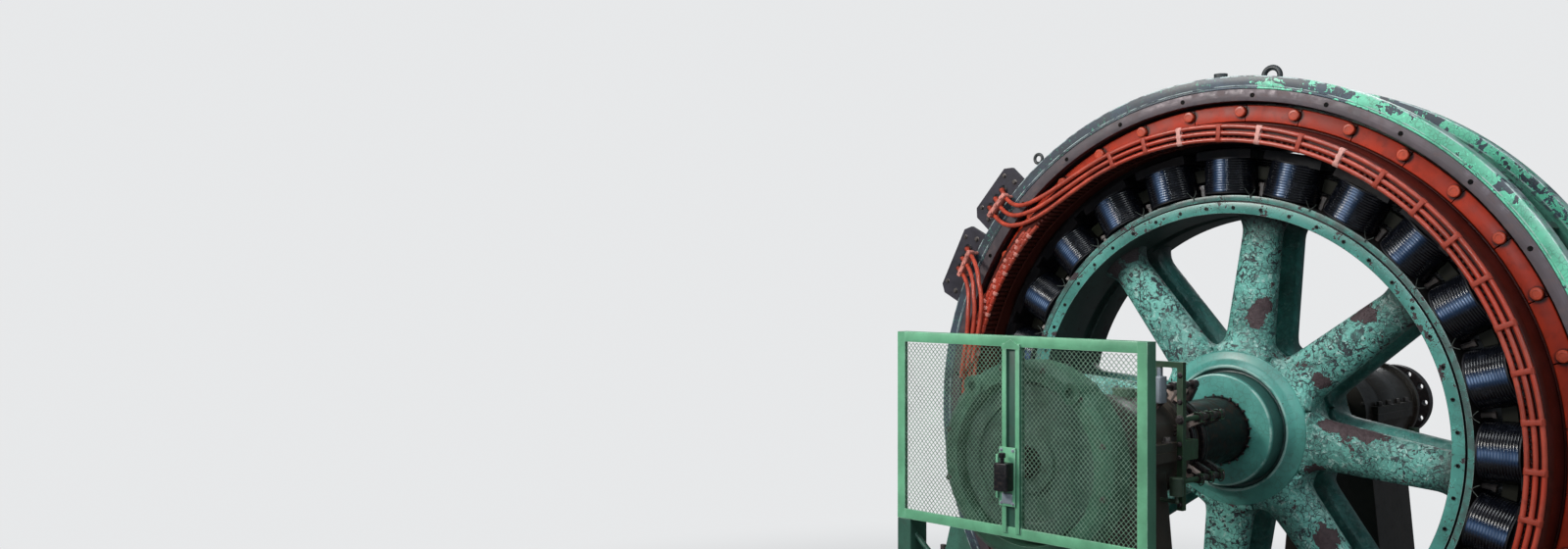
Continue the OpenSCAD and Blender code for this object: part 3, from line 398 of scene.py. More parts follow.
class Board:
    """Short calls for wiring a node tree."""

    def __init__(self, tree):
        self.tree = tree

    def put(self, socket, value):
        if isinstance(value, Wire):
            self.tree.links.new(value.socket, socket)
        elif value is not None:
            socket.default_value = (*value, 1.0) if socket.type == "RGBA" and len(value) == 3 else value

    def made(self, kind, inputs=None, **settings):
        node = self.tree.nodes.new(kind)
        for key, value in settings.items():
            setattr(node, key, value)
        for key, value in (inputs or {}).items():
            self.put(found(node.inputs, key), value)
        return node

    def node(self, kind, inputs=None, **settings):
        """The first output of a new node; its other outputs follow by name."""
        return Wire(self, self.made(kind, inputs, **settings).outputs[0])

    def math(self, operation, a, b=None, clamp=False):
        return self.node("ShaderNodeMath", {0: a, 1: b}, operation=operation, use_clamp=clamp)

    def most(self, a, b):
        return self.math("MAXIMUM", a, b)

    def hypot(self, a, b):
        return self.math("SQRT", a * a + b * b)

    def vector(self, operation, a, b=None):
        return self.node("ShaderNodeVectorMath", {0: a, 1: b}, operation=operation)

    def split(self, vector):
        return self.node("ShaderNodeSeparateXYZ", {0: vector})

    def join(self, x=None, y=None, z=None):
        return self.node("ShaderNodeCombineXYZ", {0: x, 1: y, 2: z})

    def mix(self, factor, a, b):
        made = self.made("ShaderNodeMix", data_type="RGBA")
        for place, value in ((0, factor), (6, a), (7, b)):
            self.put(made.inputs[place], value)
        return Wire(self, made.outputs[2])

    def tones(self, value, low, high, tone, dark, light):
        """Two shades of a tone, from dark to light as a value goes from low to high."""
        return self.mix(self.step(value, low, high), shade(tone, dark), shade(tone, light))

    def step(self, value, low, high, to_low=0.0, to_high=1.0):
        ends = {"From Min": low, "From Max": high, "To Min": to_low, "To Max": to_high}
        return self.node("ShaderNodeMapRange", {"Value": value, **ends}, interpolation_type="SMOOTHSTEP")

    def fall(self, value, low, high, top=1.0):
        return self.step(value, low, high, top, 0.0)

    def band(self, value, low, high, soft):
        """1 between low and high, with soft edges."""
        return self.step(value, low - soft, low + soft) * self.fall(value, high - soft, high + soft)

    def noise(self, scale, detail=4.0, rough=0.55, bend=0.0, at=None):
        return self.node("ShaderNodeTexNoise", {"Vector": at or self.where, "Scale": scale, "Detail": detail,
                                                "Roughness": rough, "Distortion": bend})["Fac"]

    def cells(self, scale, at=None, feature="F1"):
        return self.node("ShaderNodeTexVoronoi",
                         {"Vector": at or self.where, "Scale": scale, "Randomness": 1.0},
                         feature=feature)["Distance"]

    def stretched(self, scale):
        return self.node("ShaderNodeMapping", {"Vector": self.where, "Scale": scale})


GROUPS = {}


def group_of(title, kind, inputs, outputs, build):
    """Make a node group once. Its sockets are (name, kind, default), and build gives the outputs' wires."""
    if title not in GROUPS:
        tree = GROUPS[title] = bpy.data.node_groups.new(title, kind)
        for way, sockets in (("INPUT", inputs), ("OUTPUT", outputs)):
            for label, form, value in sockets:
                socket = tree.interface.new_socket(label, in_out=way, socket_type="NodeSocket" + form)
                if value is not None:
                    socket.default_value = value
        board = Board(tree)
        given = board.node("NodeGroupInput")
        board.where = given["Vector"] if kind == "ShaderNodeTree" else None
        result = tree.nodes.new("NodeGroupOutput")
        for socket, wire in zip(result.inputs, build(board, given)):
            board.put(socket, wire)
    return GROUPS[title]


def copied(b, given, points, turn=None):
    """Instances of the group's piece on points."""
    pattern = b.node("GeometryNodeObjectInfo", {"Object": given["Piece"]},
                     transform_space="ORIGINAL")["Geometry"]
    return b.node("GeometryNodeInstanceOnPoints", {"Points": points, "Instance": pattern, "Rotation": turn})


def painted(b, given, copies):
    real = b.node("GeometryNodeRealizeInstances", {0: copies})
    return b.node("GeometryNodeSetMaterial", {"Geometry": real, "Material": given["Material"]}),


def round_shaft(b, given):
    """Copies of a piece round the shaft, each with a random number called lot."""
    def scatter(kind, reach):
        return b.node("FunctionNodeRandomValue", {"Min": reach * -1.0, "Max": reach, "Seed": given["Seed"]},
                      data_type=kind)["Value"]

    points = b.node("GeometryNodePoints",
                    {"Count": given["Count"], "Position": b.join(z=given["Axis Height"])})
    turn = b.node("GeometryNodeInputIndex") * given["Pitch"] + given["First Angle"]
    turn = (turn + scatter("FLOAT", given["Turn Scatter"])) * -1.0
    shift = scatter("FLOAT_VECTOR", given["Shift Scatter"])
    moved = b.node("GeometryNodeSetPosition", {"Geometry": points, "Offset": shift})
    lot = b.node("FunctionNodeRandomValue", {"Seed": given["Seed"]}, data_type="FLOAT")["Value"]
    copies = b.node("GeometryNodeStoreNamedAttribute", {"Geometry": copied(b, given, moved, b.join(y=turn)),
                                                        "Name": "lot", "Value": lot},
                    data_type="FLOAT", domain="INSTANCE")
    return painted(b, given, copies)


def in_rows(b, given):
    """Copies of a piece in rows, every second one shifted by half a width."""
    index = b.node("GeometryNodeInputIndex")
    place = b.join(x=b.math("MODULO", index, 2) * given["Half Width"], z=index * given["Step"])
    points = b.node("GeometryNodePoints", {"Count": given["Count"], "Position": place})
    return painted(b, given, copied(b, given, points))


def grown(name, layout, shape, material, sharp=35, **values):
    """Run a layout of copies with a mesh as its piece, and return the result as a plain object."""
    forms = {"Count": "Int", "Seed": "Int"}
    inputs = [("Geometry", "Geometry", None), ("Piece", "Object", None), ("Material", "Material", None)]
    inputs += [(key.replace("_", " "), forms.get(key, "Float"), None) for key in values]
    tree = group_of(layout.__name__, "GeometryNodeTree", inputs, (("Geometry", "Geometry", None),), layout)
    pattern = merged(shape)
    smoothed(pattern, sharp)
    sample = linked(name + "_pattern", pattern)
    holder = linked(name + "_holder", bpy.data.meshes.new(name + "_holder"))
    modifier = holder.modifiers.new("copies", "NODES")
    modifier.node_group = tree
    given = {item.name: item.identifier for item in tree.interface.items_tree if item.in_out == "INPUT"}
    for label, value in {**values, "Piece": sample, "Material": material}.items():
        modifier[given[label.replace("_", " ")]] = value
    graph = bpy.context.evaluated_depsgraph_get()
    graph.update()
    mesh = bpy.data.meshes.new_from_object(holder.evaluated_get(graph), depsgraph=graph)
    if not mesh or not mesh.vertices:
        raise RuntimeError("no copies were made for " + name)
    mesh.name = name
    bpy.data.objects.remove(holder)
    bpy.data.objects.remove(sample)
    if not mesh.materials:
        mesh.materials.append(material)
    return linked(name, mesh)


def ringed(name, shape, material, count, first=0.0, pitch=None, turn=0.0, shift=0.0, seed=1, sharp=35):
    """Copies of a shape round the shaft. The shape has x out from the axis and y along the shaft."""
    return grown(name, round_shaft, shape, material, sharp, Count=count, First_Angle=math.radians(first),
                 Pitch=math.radians(pitch or 360 / count), Axis_Height=AXIS, Turn_Scatter=math.radians(turn),
                 Shift_Scatter=shift, Seed=seed)


# Materials

def shader_group(title, outputs, **floats):
    """Make a builder's shader group once. Its inputs are a vector and floats, its outputs are floats."""
    inputs = [("Vector", "Vector", None)]
    inputs += [(key.replace("_", " "), "Float", value) for key, value in floats.items()]
    results = [(label, "Float", None) for label in outputs.split()]
    return lambda build: lambda: group_of(title, "ShaderNodeTree", inputs, results, build)


@shader_group("Round the shaft", "Radius Turn Along", Axis_Height=AXIS)
def polar_place(b, given):
    """Distance from the axis, turns round it from -0.5 to 0.5, and the place along it."""
    parts = b.split(b.where)
    up = parts["Z"] - given["Axis Height"]
    turn = b.math("DIVIDE", b.math("ARCTAN2", up, parts["X"]), 2 * math.pi)
    return b.hypot(parts["X"], up), turn, parts["Y"]


@shader_group("Peeling paint", "Bare Lip Grain", Scale=6.0, Amount=0.4, Raggedness=0.35, Bias=0.0)
def peeled(b, given):
    """Paint that has come off in ragged patches, with a pale lip round each patch and fine specks."""
    broad = b.noise(given["Scale"], 5.0, 0.62, 0.35)
    fine = b.noise(given["Scale"] * 6.3, 3.0, 0.6, 0.8)
    field = broad + (fine - 0.5) * given["Raggedness"] + given["Bias"]
    over = field - b.math("SUBTRACT", 1.0, given["Amount"])
    bare = b.step(over, -0.006, 0.006)
    return bare, b.math("SUBTRACT", b.step(over, -0.035, -0.004), bare, clamp=True), fine


@shader_group("Mottled paint", "Cloud Cracks Flecks", Scale=4.0)
def mottled(b, given):
    """Weathering of old paint: cloudy lightness, a fine web of dark cracks and short dark marks."""
    s = given["Scale"]
    swirl = b.node("ShaderNodeTexNoise", {"Vector": b.where, "Scale": s * 5.0, "Detail": 2.0})["Color"]
    swirl = b.node("ShaderNodeVectorMath", {0: swirl, "Scale": 0.03}, operation="SCALE")
    web = b.cells(s * 9.0, b.vector("ADD", b.where, swirl), "DISTANCE_TO_EDGE")
    cracks = b.fall(web, 0.03, 0.09) * b.step(b.noise(s * 3.0, 3.0, 0.6), 0.42, 0.56)
    flecks = b.step(b.noise(s * 14.0, 2.0, 0.7, 1.2), 0.60, 0.66) * b.step(b.noise(s * 2.2, 2.0), 0.40, 0.60)
    return b.noise(s, 4.0, 0.6, 0.3), cracks, flecks


@shader_group("Edge wear", "Edge", Width=0.004, Scale=14.0)
def worn_and_lit_edges(b, given):
    """Mask of outer edges, from the difference between the true and a rounded normal, broken up by noise. It
    paints scuffed edges and painted highlights on the edges alike.
    """
    soft = b.node("ShaderNodeBevel", {"Radius": given["Width"]}, samples=4)
    flat = b.vector("DOT_PRODUCT", soft, b.node("ShaderNodeNewGeometry")["Normal"])["Value"]
    edge = b.step(b.math("SUBTRACT", 1.0, flat), 0.02, 0.20)
    return edge * b.step(b.noise(given["Scale"], 4.0, 0.65, 0.4), 0.30, 0.62),


@shader_group("Grime", "Runs Spots Fine", Scale=3.0)
def grimy(b, given):
    """Dust, oil runs and stains."""
    runs = b.noise(given["Scale"], 5.0, 0.62, 0.5, at=b.stretched((1.0, 1.0, 0.22)))
    spots = b.noise(given["Scale"] * 5.0, 3.0, 0.6)
    return b.step(runs, 0.40, 0.68), b.step(spots, 0.52, 0.66), spots


class Finish(Board):
    """A material in the making: layers of colour in object coordinates, ending in one shader."""

    def __init__(self, name, **plain):
        self.material = bpy.data.materials.new(name)
        self.material.use_nodes = True
        super().__init__(self.material.node_tree)
        self.tree.nodes.clear()
        self.shader = self.made("ShaderNodeBsdfPrincipled")
        self.out = self.made("ShaderNodeOutputMaterial", {0: Wire(self, self.shader.outputs[0])})
        self.where = self.node("ShaderNodeTexCoord")["Object"]
        self.set(**plain)

    def group(self, maker, **inputs):
        inputs = {key.replace("_", " "): value for key, value in inputs.items()}
        return self.node("ShaderNodeGroup", {"Vector": self.where, **inputs}, node_tree=maker())

    def wear_and_highlight(self, width, scale):
        return self.group(worn_and_lit_edges, Width=width, Scale=scale)["Edge"]

    def normal(self, axis):
        return self.split(self.node("ShaderNodeNewGeometry")["Normal"])[axis]

    def lay(self, factor, tone):
        """One more layer of colour."""
        self.base = self.mix(factor, self.base, tone)

    def set(self, **sockets):
        for key, value in sockets.items():
            self.put(self.shader.inputs[key.replace("_", " ")], value)

    def done(self, rough, height, distance, strength, **more):
        bump = self.node("ShaderNodeBump", {"Height": height, "Distance": distance, "Strength": strength})
        self.set(Base_Color=self.base, Roughness=rough, Normal=bump, **more)
        return self.material


MATERIALS = {}


def finish_of(maker):
    """Keep one material for each maker."""
    def once(*given):
        key = (maker.__name__, given)
        if key not in MATERIALS:
            MATERIALS[key] = maker(bpy.context.scene.generator_colours, *given)
        return MATERIALS[key]
    return once


@finish_of
def arm_paint(hue, row):
    """Pale mottled paint on the arms, with bare patches where it came off."""
    f = Finish("arm paint " + row, Specular_IOR_Level=0.45)
    front = row == "front"
    polar, mottle = f.group(polar_place), f.group(mottled, Scale=4.2)
    bias = 0.0
    for x, y, z, reach in BARE_PATCHES if front else ():
        gap = f.vector("DISTANCE", f.where, (x, y, AXIS + z))["Value"]
        bias = f.most(bias, f.fall(gap, reach * 0.35, reach * 1.05, 0.27))
    peel = f.group(peeled, Scale=7.5, Amount=0.350 if front else 0.30, Raggedness=0.30, Bias=bias)
    pale = hue.arm_paint if front else blend(hue.wheel_paint, (0.02, 0.12, 0.12), 0.35)
    f.base = f.tones(mottle["Cloud"], 0.30, 0.72, pale, 0.50, 1.30)
    stroke = f.noise(19.0, 4.0, 0.66, 1.9)
    chips = f.step(stroke, 0.545, 0.565)
    rims = f.math("SUBTRACT", f.step(stroke, 0.490, 0.555), chips, clamp=True)
    patchy = f.step(f.noise(4.0, 3.0, 0.6), 0.36, 0.52, 0.30, 1.0)
    chips = chips * (patchy * (1.0 if front else 0.2))
    # Paler on the arms' upward faces, broken up by noise: dust, and painted light on the tops.
    dust_and_top_light = f.step(f.normal("Z"), 0.1, 0.9) * f.step(f.noise(9.0, 4.0, 0.6), 0.42, 0.66)
    f.lay(dust_and_top_light * (0.55 if front else 0.2), (0.52, 0.66, 0.62))
    # Painted highlight: a pale rim round each dark chip.
    f.lay(rims * (0.60 if front else 0.1), shade(pale, 1.5))
    # Painted light on the paint's lumps: pale specks are painted highlights, dark specks are painted shade in
    # the pits.
    flake = f.noise(34.0, 2.0, 0.6, 0.8)
    lump_light_and_shade = 0.55 if front else 0.15
    f.lay(f.step(flake, 0.56, 0.66) * lump_light_and_shade, (0.50, 0.70, 0.65))
    f.lay(f.fall(flake, 0.34, 0.41) * lump_light_and_shade, shade(pale, 0.16))
    f.lay(mottle["Cracks"] * (0.85 if front else 0.3), (0.028, 0.042, 0.048))
    f.lay(chips, (0.030, 0.042, 0.048))
    f.lay(peel["Lip"], shade(pale, 1.35))
    brownish = f.mix(peel["Grain"], shade(hue.bare, 0.45), blend(hue.bare, (0.13, 0.08, 0.085), 0.5))
    f.lay(peel["Bare"], brownish)
    # Painted shade: the arms go dark towards the rim, where they lie in its shadow.
    f.lay(f.step(polar["Radius"], 0.93, 1.105, 0.0, 0.85), shade(hue.bare, 0.25))
    rough = f.step(mottle["Cloud"], 0.25, 0.75, 0.42 if front else 0.34, 0.62) + peel["Bare"] * 0.2
    height = mottle["Cloud"] * 0.9 + peel["Lip"] * 0.25 - (peel["Bare"] * 0.55 + chips * 0.45)
    return f.done(rough, height + flake * (0.8 if front else 0.3), 0.010, 0.8)


@finish_of
def wheel_paint(hue, part):
    """Smooth paint of the hub and the rim, with scuffs and painted highlights on the lips, and painted shade
    in the grooves and on the rim's inner, outer and rear faces.
    """
    f = Finish("wheel paint " + part, Specular_IOR_Level=0.5, Coat_Weight=0.15, Coat_Roughness=0.25)
    polar, mottle = f.group(polar_place), f.group(mottled, Scale=3.4)
    radius, along = polar["Radius"], polar["Along"]
    peel = f.group(peeled, Scale=8.5, Amount=0.385 if part == "rim" else 0.26, Raggedness=0.4)
    f.base = f.tones(mottle["Cloud"], 0.28, 0.75, hue.wheel_paint, 0.66, 1.18)
    if part == "rim":
        # Painted shade, laid near-black below: the groove between the rim's raised ring and its band.
        line = f.band(radius, RIM_GROOVE - 0.0015, RIM_BAND + 0.0015, 0.0006)
        # Painted shade, laid near-black below: the rim's inner and outer faces, and its rear half but for the
        # face turned to the rear.
        inside = f.most(f.fall(radius, RIM_IN + 0.0008, RIM_IN + 0.0025, 0.93),
                        f.step(radius, RIM_OUT - 0.0015, RIM_OUT - 0.0005))
        inside = f.most(inside, f.fall(f.normal("Y"), 0.3, 0.6, 0.9) * f.step(along, 0.0, 0.04))
        dirt = f.step(f.noise(10.0, 3.0, 0.6), 0.40, 0.56, 0.25, 0.9)
        f.lay(f.step(radius, RIM_BAND + 0.0015, RIM_BAND + 0.0025) * dirt,
              blend(hue.bare, hue.wheel_paint, 0.25))
        f.lay(mottle["Flecks"] * 0.8, shade(hue.bare, 0.45))
    else:
        # Painted shade, laid near-black below: the groove between boss and lip, and the boss's side.
        line = f.most(
            f.band(radius, HUB_BOSS + 0.0005, HUB_LIP - 0.0005, 0.001)
            * f.step(along, -0.205, -0.190, 0.0, 0.8),
            f.band(radius, HUB_BOSS - 0.0095, HUB_BOSS + 0.001, 0.001)
            * f.step(along, -0.302, -0.290, 0.0, 0.6))
        inside = f.fall(radius, HUB_BORE + 0.0035, HUB_BORE + 0.0135, 0.8)
        f.lay(mottle["Flecks"] * 0.3, shade(hue.bare, 0.6))
        # Painted highlight with scuffs: pale arcs on the front edges of the boss and the lip, broken up by
        # noise.
        rubbed_and_lit = f.step(f.noise(8.0, 3.0, 0.6), 0.34, 0.50)
        lips = f.most(
            f.band(radius, HUB_BOSS - 0.0095, HUB_BOSS + 0.001, 0.002)
            * f.fall(along, HUB_END + 0.006, HUB_END + 0.012),
            f.band(radius, HUB_LIP - 0.0005, HUB_LIP_OUT - 0.003, 0.002)
            * f.fall(along, HUB_LIP_END + 0.006, HUB_LIP_END + 0.012))
        f.lay(lips * rubbed_and_lit * 0.55, (0.42, 0.60, 0.55))
    f.lay(mottle["Cracks"] * 0.22, shade(hue.bare, 0.7))
    f.lay(peel["Lip"], shade(hue.wheel_paint, 1.4))
    f.lay(peel["Bare"], shade(hue.bare, 0.7))
    # Pale edges of the hub and rim: scuffs and painted highlight.
    f.lay(f.wear_and_highlight(0.006, 9.0) * 0.75, (0.78, 0.85, 0.80))
    # Near-black: the painted shade above, and on the hub a ring round the bore.
    f.lay(line, (0.012, 0.011, 0.014))
    f.lay(inside, (0.012, 0.010, 0.010))
    rough = f.step(mottle["Cloud"], 0.25, 0.75, 0.30, 0.48) + f.most(peel["Bare"], inside) * 0.35
    return f.done(rough, mottle["Cloud"] * 0.6 - peel["Bare"] * 0.5, 0.003, 0.4)


@finish_of
def coil_varnish(hue):
    """Black varnish over wound strip, with dust in places and a painted reflection of tall windows down the
    middle of each coil's end.
    """
    f = Finish("coil varnish", Specular_IOR_Level=0.5, Coat_Weight=0.3, Coat_Roughness=0.10)
    polar, grime = f.group(polar_place), f.group(grimy, Scale=6.0)
    f.base = f.mix(f.step(grime["Fine"], 0.45, 0.80) * 0.4, hue.coil, (0.025, 0.030, 0.046))
    lines = f.math("SINE", polar["Radius"] * (2 * math.pi / 0.0129))
    across = abs(f.math("FRACT", polar["Turn"] * sizes().poles + 0.5) - 0.5)
    end = f.step(abs(polar["Along"]), 0.262, 0.285)
    # Painted reflection: a blue glow and bright dashes down the middle of each coil's end.
    bright = f.fall(across, 0.010, 0.070) * end * f.step(lines, -0.4, 0.9, 0.15, 1.0)
    bright = bright * f.step(f.noise(7.0, 1.0, 0.5), 0.30, 0.60, 0.25, 1.0)
    f.lay(f.fall(across, 0.020, 0.150) * end * 0.46, (0.035, 0.095, 0.230))
    f.lay(bright * 0.60, (0.40, 0.55, 0.82))
    return f.done(f.step(grime["Fine"], 0.35, 0.75, 0.17, 0.30), lines * 0.10 + grime["Fine"] * 0.3, 0.0015,
                  0.5)


@finish_of
def laminations(hue, code):
    """Stacked sheet steel, seen as fine lines across the shaft."""
    f = Finish("laminations " + code, Specular_IOR_Level=0.15)
    polar, grime = f.group(polar_place), f.group(grimy, Scale=5.0)
    f.base = f.mix(grime["Fine"] * 0.8, tint(code), shade(tint(code), 1.8))
    f.lay(grime["Runs"] * 0.35, (0.022, 0.015, 0.013))
    lines = f.math("SINE", polar["Along"] * (2 * math.pi / 0.0032))
    return f.done(f.step(grime["Fine"], 0.3, 0.8, 0.42, 0.7), lines * 0.3 + grime["Fine"], 0.001, 0.5)


@finish_of
def enamel(hue, part):
    """Insulating enamel, brushed on thick, chipped and pale at the edges with painted highlight there, dusted
    with spots, and with painted shade in the hollows, on the clamp rings' edges and beside each bolt.
    """
    f = Finish("enamel " + part, Specular_IOR_Level=0.5 if part == "rod" else 0.16,
               Coat_Weight=0.5 if part in ("rod", "head") else 0.04, Coat_Roughness=0.22)
    polar, grime = f.group(polar_place), f.group(grimy, Scale=4.0)
    radius, turn = polar["Radius"], polar["Turn"]
    cloud = height = f.noise(7.0, 4.0, 0.6, 0.4)
    tone = {"clamp": hue.enamel, "winding": hue.deep_enamel, "rod": hue.rod_enamel, "head": tint("b5442a"),
            "strap": tint("d48a7e")}[part]
    f.base = f.tones(cloud, 0.3, 0.72, tone, 0.72, 1.15)
    f.lay(grime["Spots"] * 0.35, shade(tone, 0.35))
    if part == "winding":
        # Painted shade: the winding goes darker towards the stator's middle and towards the bore.
        deep = f.step(abs(polar["Along"]), 0.25, 0.445, 0.95, 0.45) * f.step(radius, 1.535, 1.550, 1.0, 0.25)
        f.lay(deep, (0.068, 0.015, 0.010))
        height = cloud + f.math("SINE", turn * (2 * math.pi * 288)) * 0.15
    elif part == "clamp":
        # Paler enamel on the clamp rings' edges: chips and painted highlight.
        f.lay(f.wear_and_highlight(0.005, 8.0) * 0.35, shade(tone, 1.7))
        # Painted shade: dark on the clamp rings' inner edge and near-black on their outer edge.
        f.lay(f.fall(radius, CLAMP_IN + 0.0005, CLAMP_IN + 0.0045, 0.85), shade(tone, 0.2))
        f.lay(f.step(radius, CLAMP_OUT - 0.0035, CLAMP_OUT - 0.0005, 0.0, 0.8), (0.02, 0.006, 0.005))
        f.lay(grime["Runs"] * 0.45, shade(tone, 0.45))
        # Painted shadow: a near-black disc beside each bolt head, shifted 6 mm to one side.
        s = sizes()
        first = s.bolts * s.bolt_angle / (2 * math.pi)
        side = f.math("FRACT", turn * s.bolts + (0.5 - first + s.bolts)) - 0.5
        gap = f.hypot(side * (2 * math.pi * s.bolt_circle / s.bolts) + 0.006, radius - s.bolt_circle)
        f.lay(f.fall(gap, 0.030, 0.046) * 0.9, (0.012, 0.004, 0.003))
    elif part == "rod":
        f.lay(f.step(f.noise(3.0, 2.0), 0.48, 0.60, 0.0, 0.8), hue.enamel)
    return f.done(f.step(cloud, 0.3, 0.75, 0.38, 0.60), height, 0.002, 0.4)


@finish_of
def taped(hue):
    """Wraps of tape on the rods: pale on some, enamelled over on others."""
    f = Finish("tape wraps", Specular_IOR_Level=0.4)
    lot = f.node("ShaderNodeAttribute", attribute_name="lot")["Fac"]
    cloud = f.noise(40.0, 3.0, 0.6)
    f.base = f.mix(f.step(lot, 0.50, 0.53), shade(hue.rod_enamel, 0.85), hue.tape)
    f.lay(f.fall(cloud, 0.35, 0.7, 0.4), shade(hue.enamel, 0.5))
    return f.done(f.step(cloud, 0.3, 0.7, 0.45, 0.7), cloud, 0.001, 0.5)


@finish_of
def lead_tape(hue):
    """Tape wound along the leads."""
    f = Finish("lead tape", Specular_IOR_Level=0.5, Coat_Weight=0.2, Coat_Roughness=0.3)
    run = f.split(f.node("ShaderNodeUVMap", uv_map="along"))
    lap = f.step(f.math("FRACT", run["X"] * (1 / 0.022) + run["Y"]), 0.0, 0.16)
    cloud = f.noise(12.0, 4.0, 0.6, 0.3)
    f.base = f.tones(cloud, 0.3, 0.7, hue.rod_enamel, 0.80, 1.35)
    f.lay(f.fall(lap, 0.0, 1.0, 0.45), shade(hue.enamel, 0.4))
    return f.done(f.step(cloud, 0.3, 0.7, 0.32, 0.5), lap + cloud, 0.0012, 0.5)


@finish_of
def frame_paint(hue, part):
    """Frame rings: gloss paint over slate undercoat, whole on the right and mostly lost on the left."""
    f = Finish("frame paint " + part, Specular_IOR_Level=0.5, Coat_Weight=0.2, Coat_Roughness=0.22)
    radius, mottle = f.group(polar_place)["Radius"], f.group(mottled, Scale=5.0)
    lost = f.step(f.split(f.where)["X"], -0.5, 1.3, 0.20, -0.06)
    peel = f.group(peeled, Scale=5.2, Raggedness=0.42, Bias=lost, Amount=0.50)
    fresh = f.tones(mottle["Cloud"], 0.3, 0.7, hue.frame_paint, 0.70, 1.12)
    under = f.tones(mottle["Cloud"], 0.35, 0.7, hue.frame_under, 0.45, 1.15)
    f.base = f.mix(peel["Bare"], fresh, f.mix(mottle["Flecks"] * 0.7, under, shade(hue.frame_paint, 0.75)))
    f.lay(peel["Lip"], shade(hue.frame_paint, 1.35))
    f.lay(mottle["Cracks"] * 0.4, (0.02, 0.025, 0.03))
    # Pale lines along the flange's outer edge and its groove, broken by noise, and pale edges: scuffs and
    # painted highlight.
    lines = f.most(f.band(radius, FRAME_OUT - 0.0055, FRAME_OUT + 0.0005, 0.0012),
                   f.band(radius, FRAME_GROOVE + 0.0005, FRAME_GROOVE + 0.005, 0.0012))
    rubbed_and_lit = lines * f.step(f.noise(12.0, 4.0, 0.65), 0.40, 0.55)
    f.lay(f.most(f.wear_and_highlight(0.005, 7.0), rubbed_and_lit) * 0.85, (0.46, 0.56, 0.56))
    f.lay(f.fall(radius, 1.700, LEDGE + 0.0005, 0.9), (0.022, 0.008, 0.008))
    if part != "front":
        f.lay(f.fall(radius, 1.742, 1.752, 0.75), (0.02, 0.05, 0.045))
    rough = f.step(mottle["Cloud"], 0.3, 0.7, 0.28, 0.45) + peel["Bare"] * 0.2
    return f.done(rough, mottle["Cloud"] * 0.5 - peel["Bare"] * 0.5, 0.003, 0.45)


@finish_of
def face_metal(hue):
    """Stained machined face with fine turning marks."""
    f = Finish("machined face", Specular_IOR_Level=0.5)
    polar, grime = f.group(polar_place), f.group(grimy, Scale=5.0)
    lines = f.noise(1.0, 2.0, at=f.join(polar["Radius"] * 260.0, polar["Turn"] * 3.0))
    f.base = f.mix(lines, shade(hue.face, 0.8), shade(hue.face, 1.25))
    f.lay(grime["Runs"] * 0.5, shade(hue.face, 0.45))
    f.lay(grime["Spots"] * 0.25, (0.16, 0.10, 0.09))
    return f.done(f.step(grime["Fine"], 0.3, 0.7, 0.34, 0.6), lines, 0.0006, 0.4,
                  Metallic=f.step(grime["Runs"], 0.0, 1.0, 0.30, 0.1))


@finish_of
def dark_steel(hue, part):
    """Oiled steel: the shaft, slip rings, bolts and other dark metal."""
    # The hole finish is painted shade: matte near-black, for the dark inside of a tapped hole.
    code, gloss, metal = {
        "shaft": (None, 0.12, 0.1), "ring": ("1f1c1e", 0.25, 0.4), "bush": ("4a3022", 0.25, 0.3),
        "hole": ("0a0a0b", 0.04, 0.0), "iron": ("2f2a2b", 0.5, 0.3), "bolt": ("4a4543", 0.5, 0.3),
        "black": ("17161a", 0.5, 0.3), "lead": ("1d1c20", 0.5, 0.3), "cable": ("3a3130", 0.5, 0.3),
    }[part]
    f = Finish("dark steel " + part, Specular_IOR_Level=gloss)
    polar, grime = f.group(polar_place), f.group(grimy, Scale=6.0 if part == "shaft" else 14.0)
    tone, fine = tint(code) if code else hue.shaft, grime["Fine"]
    f.base = f.mix(fine, shade(tone, 0.7), shade(tone, 1.5))
    if part == "shaft":
        # Painted highlight: a reddish-brown sheen along the top of the shaft.
        brownish = f.step(fine, 0.4, 0.7) * f.step(f.split(f.where)["Z"], AXIS + 0.06, AXIS + 0.16, 0.0, 0.6)
        f.lay(brownish, (0.050, 0.022, 0.019))
    f.lay(grime["Spots"] * 0.3, (0.09, 0.05, 0.035))
    lines = f.noise(1.0, 2.0, at=f.join(polar["Along"] * 240.0, polar["Turn"] * 2.0, polar["Radius"]))
    return f.done(f.step(fine, 0.3, 0.75, 0.28, 0.55), lines, 0.0005, 0.4,
                  Metallic=f.step(fine, 0.2, 0.8, metal, metal * 0.6))


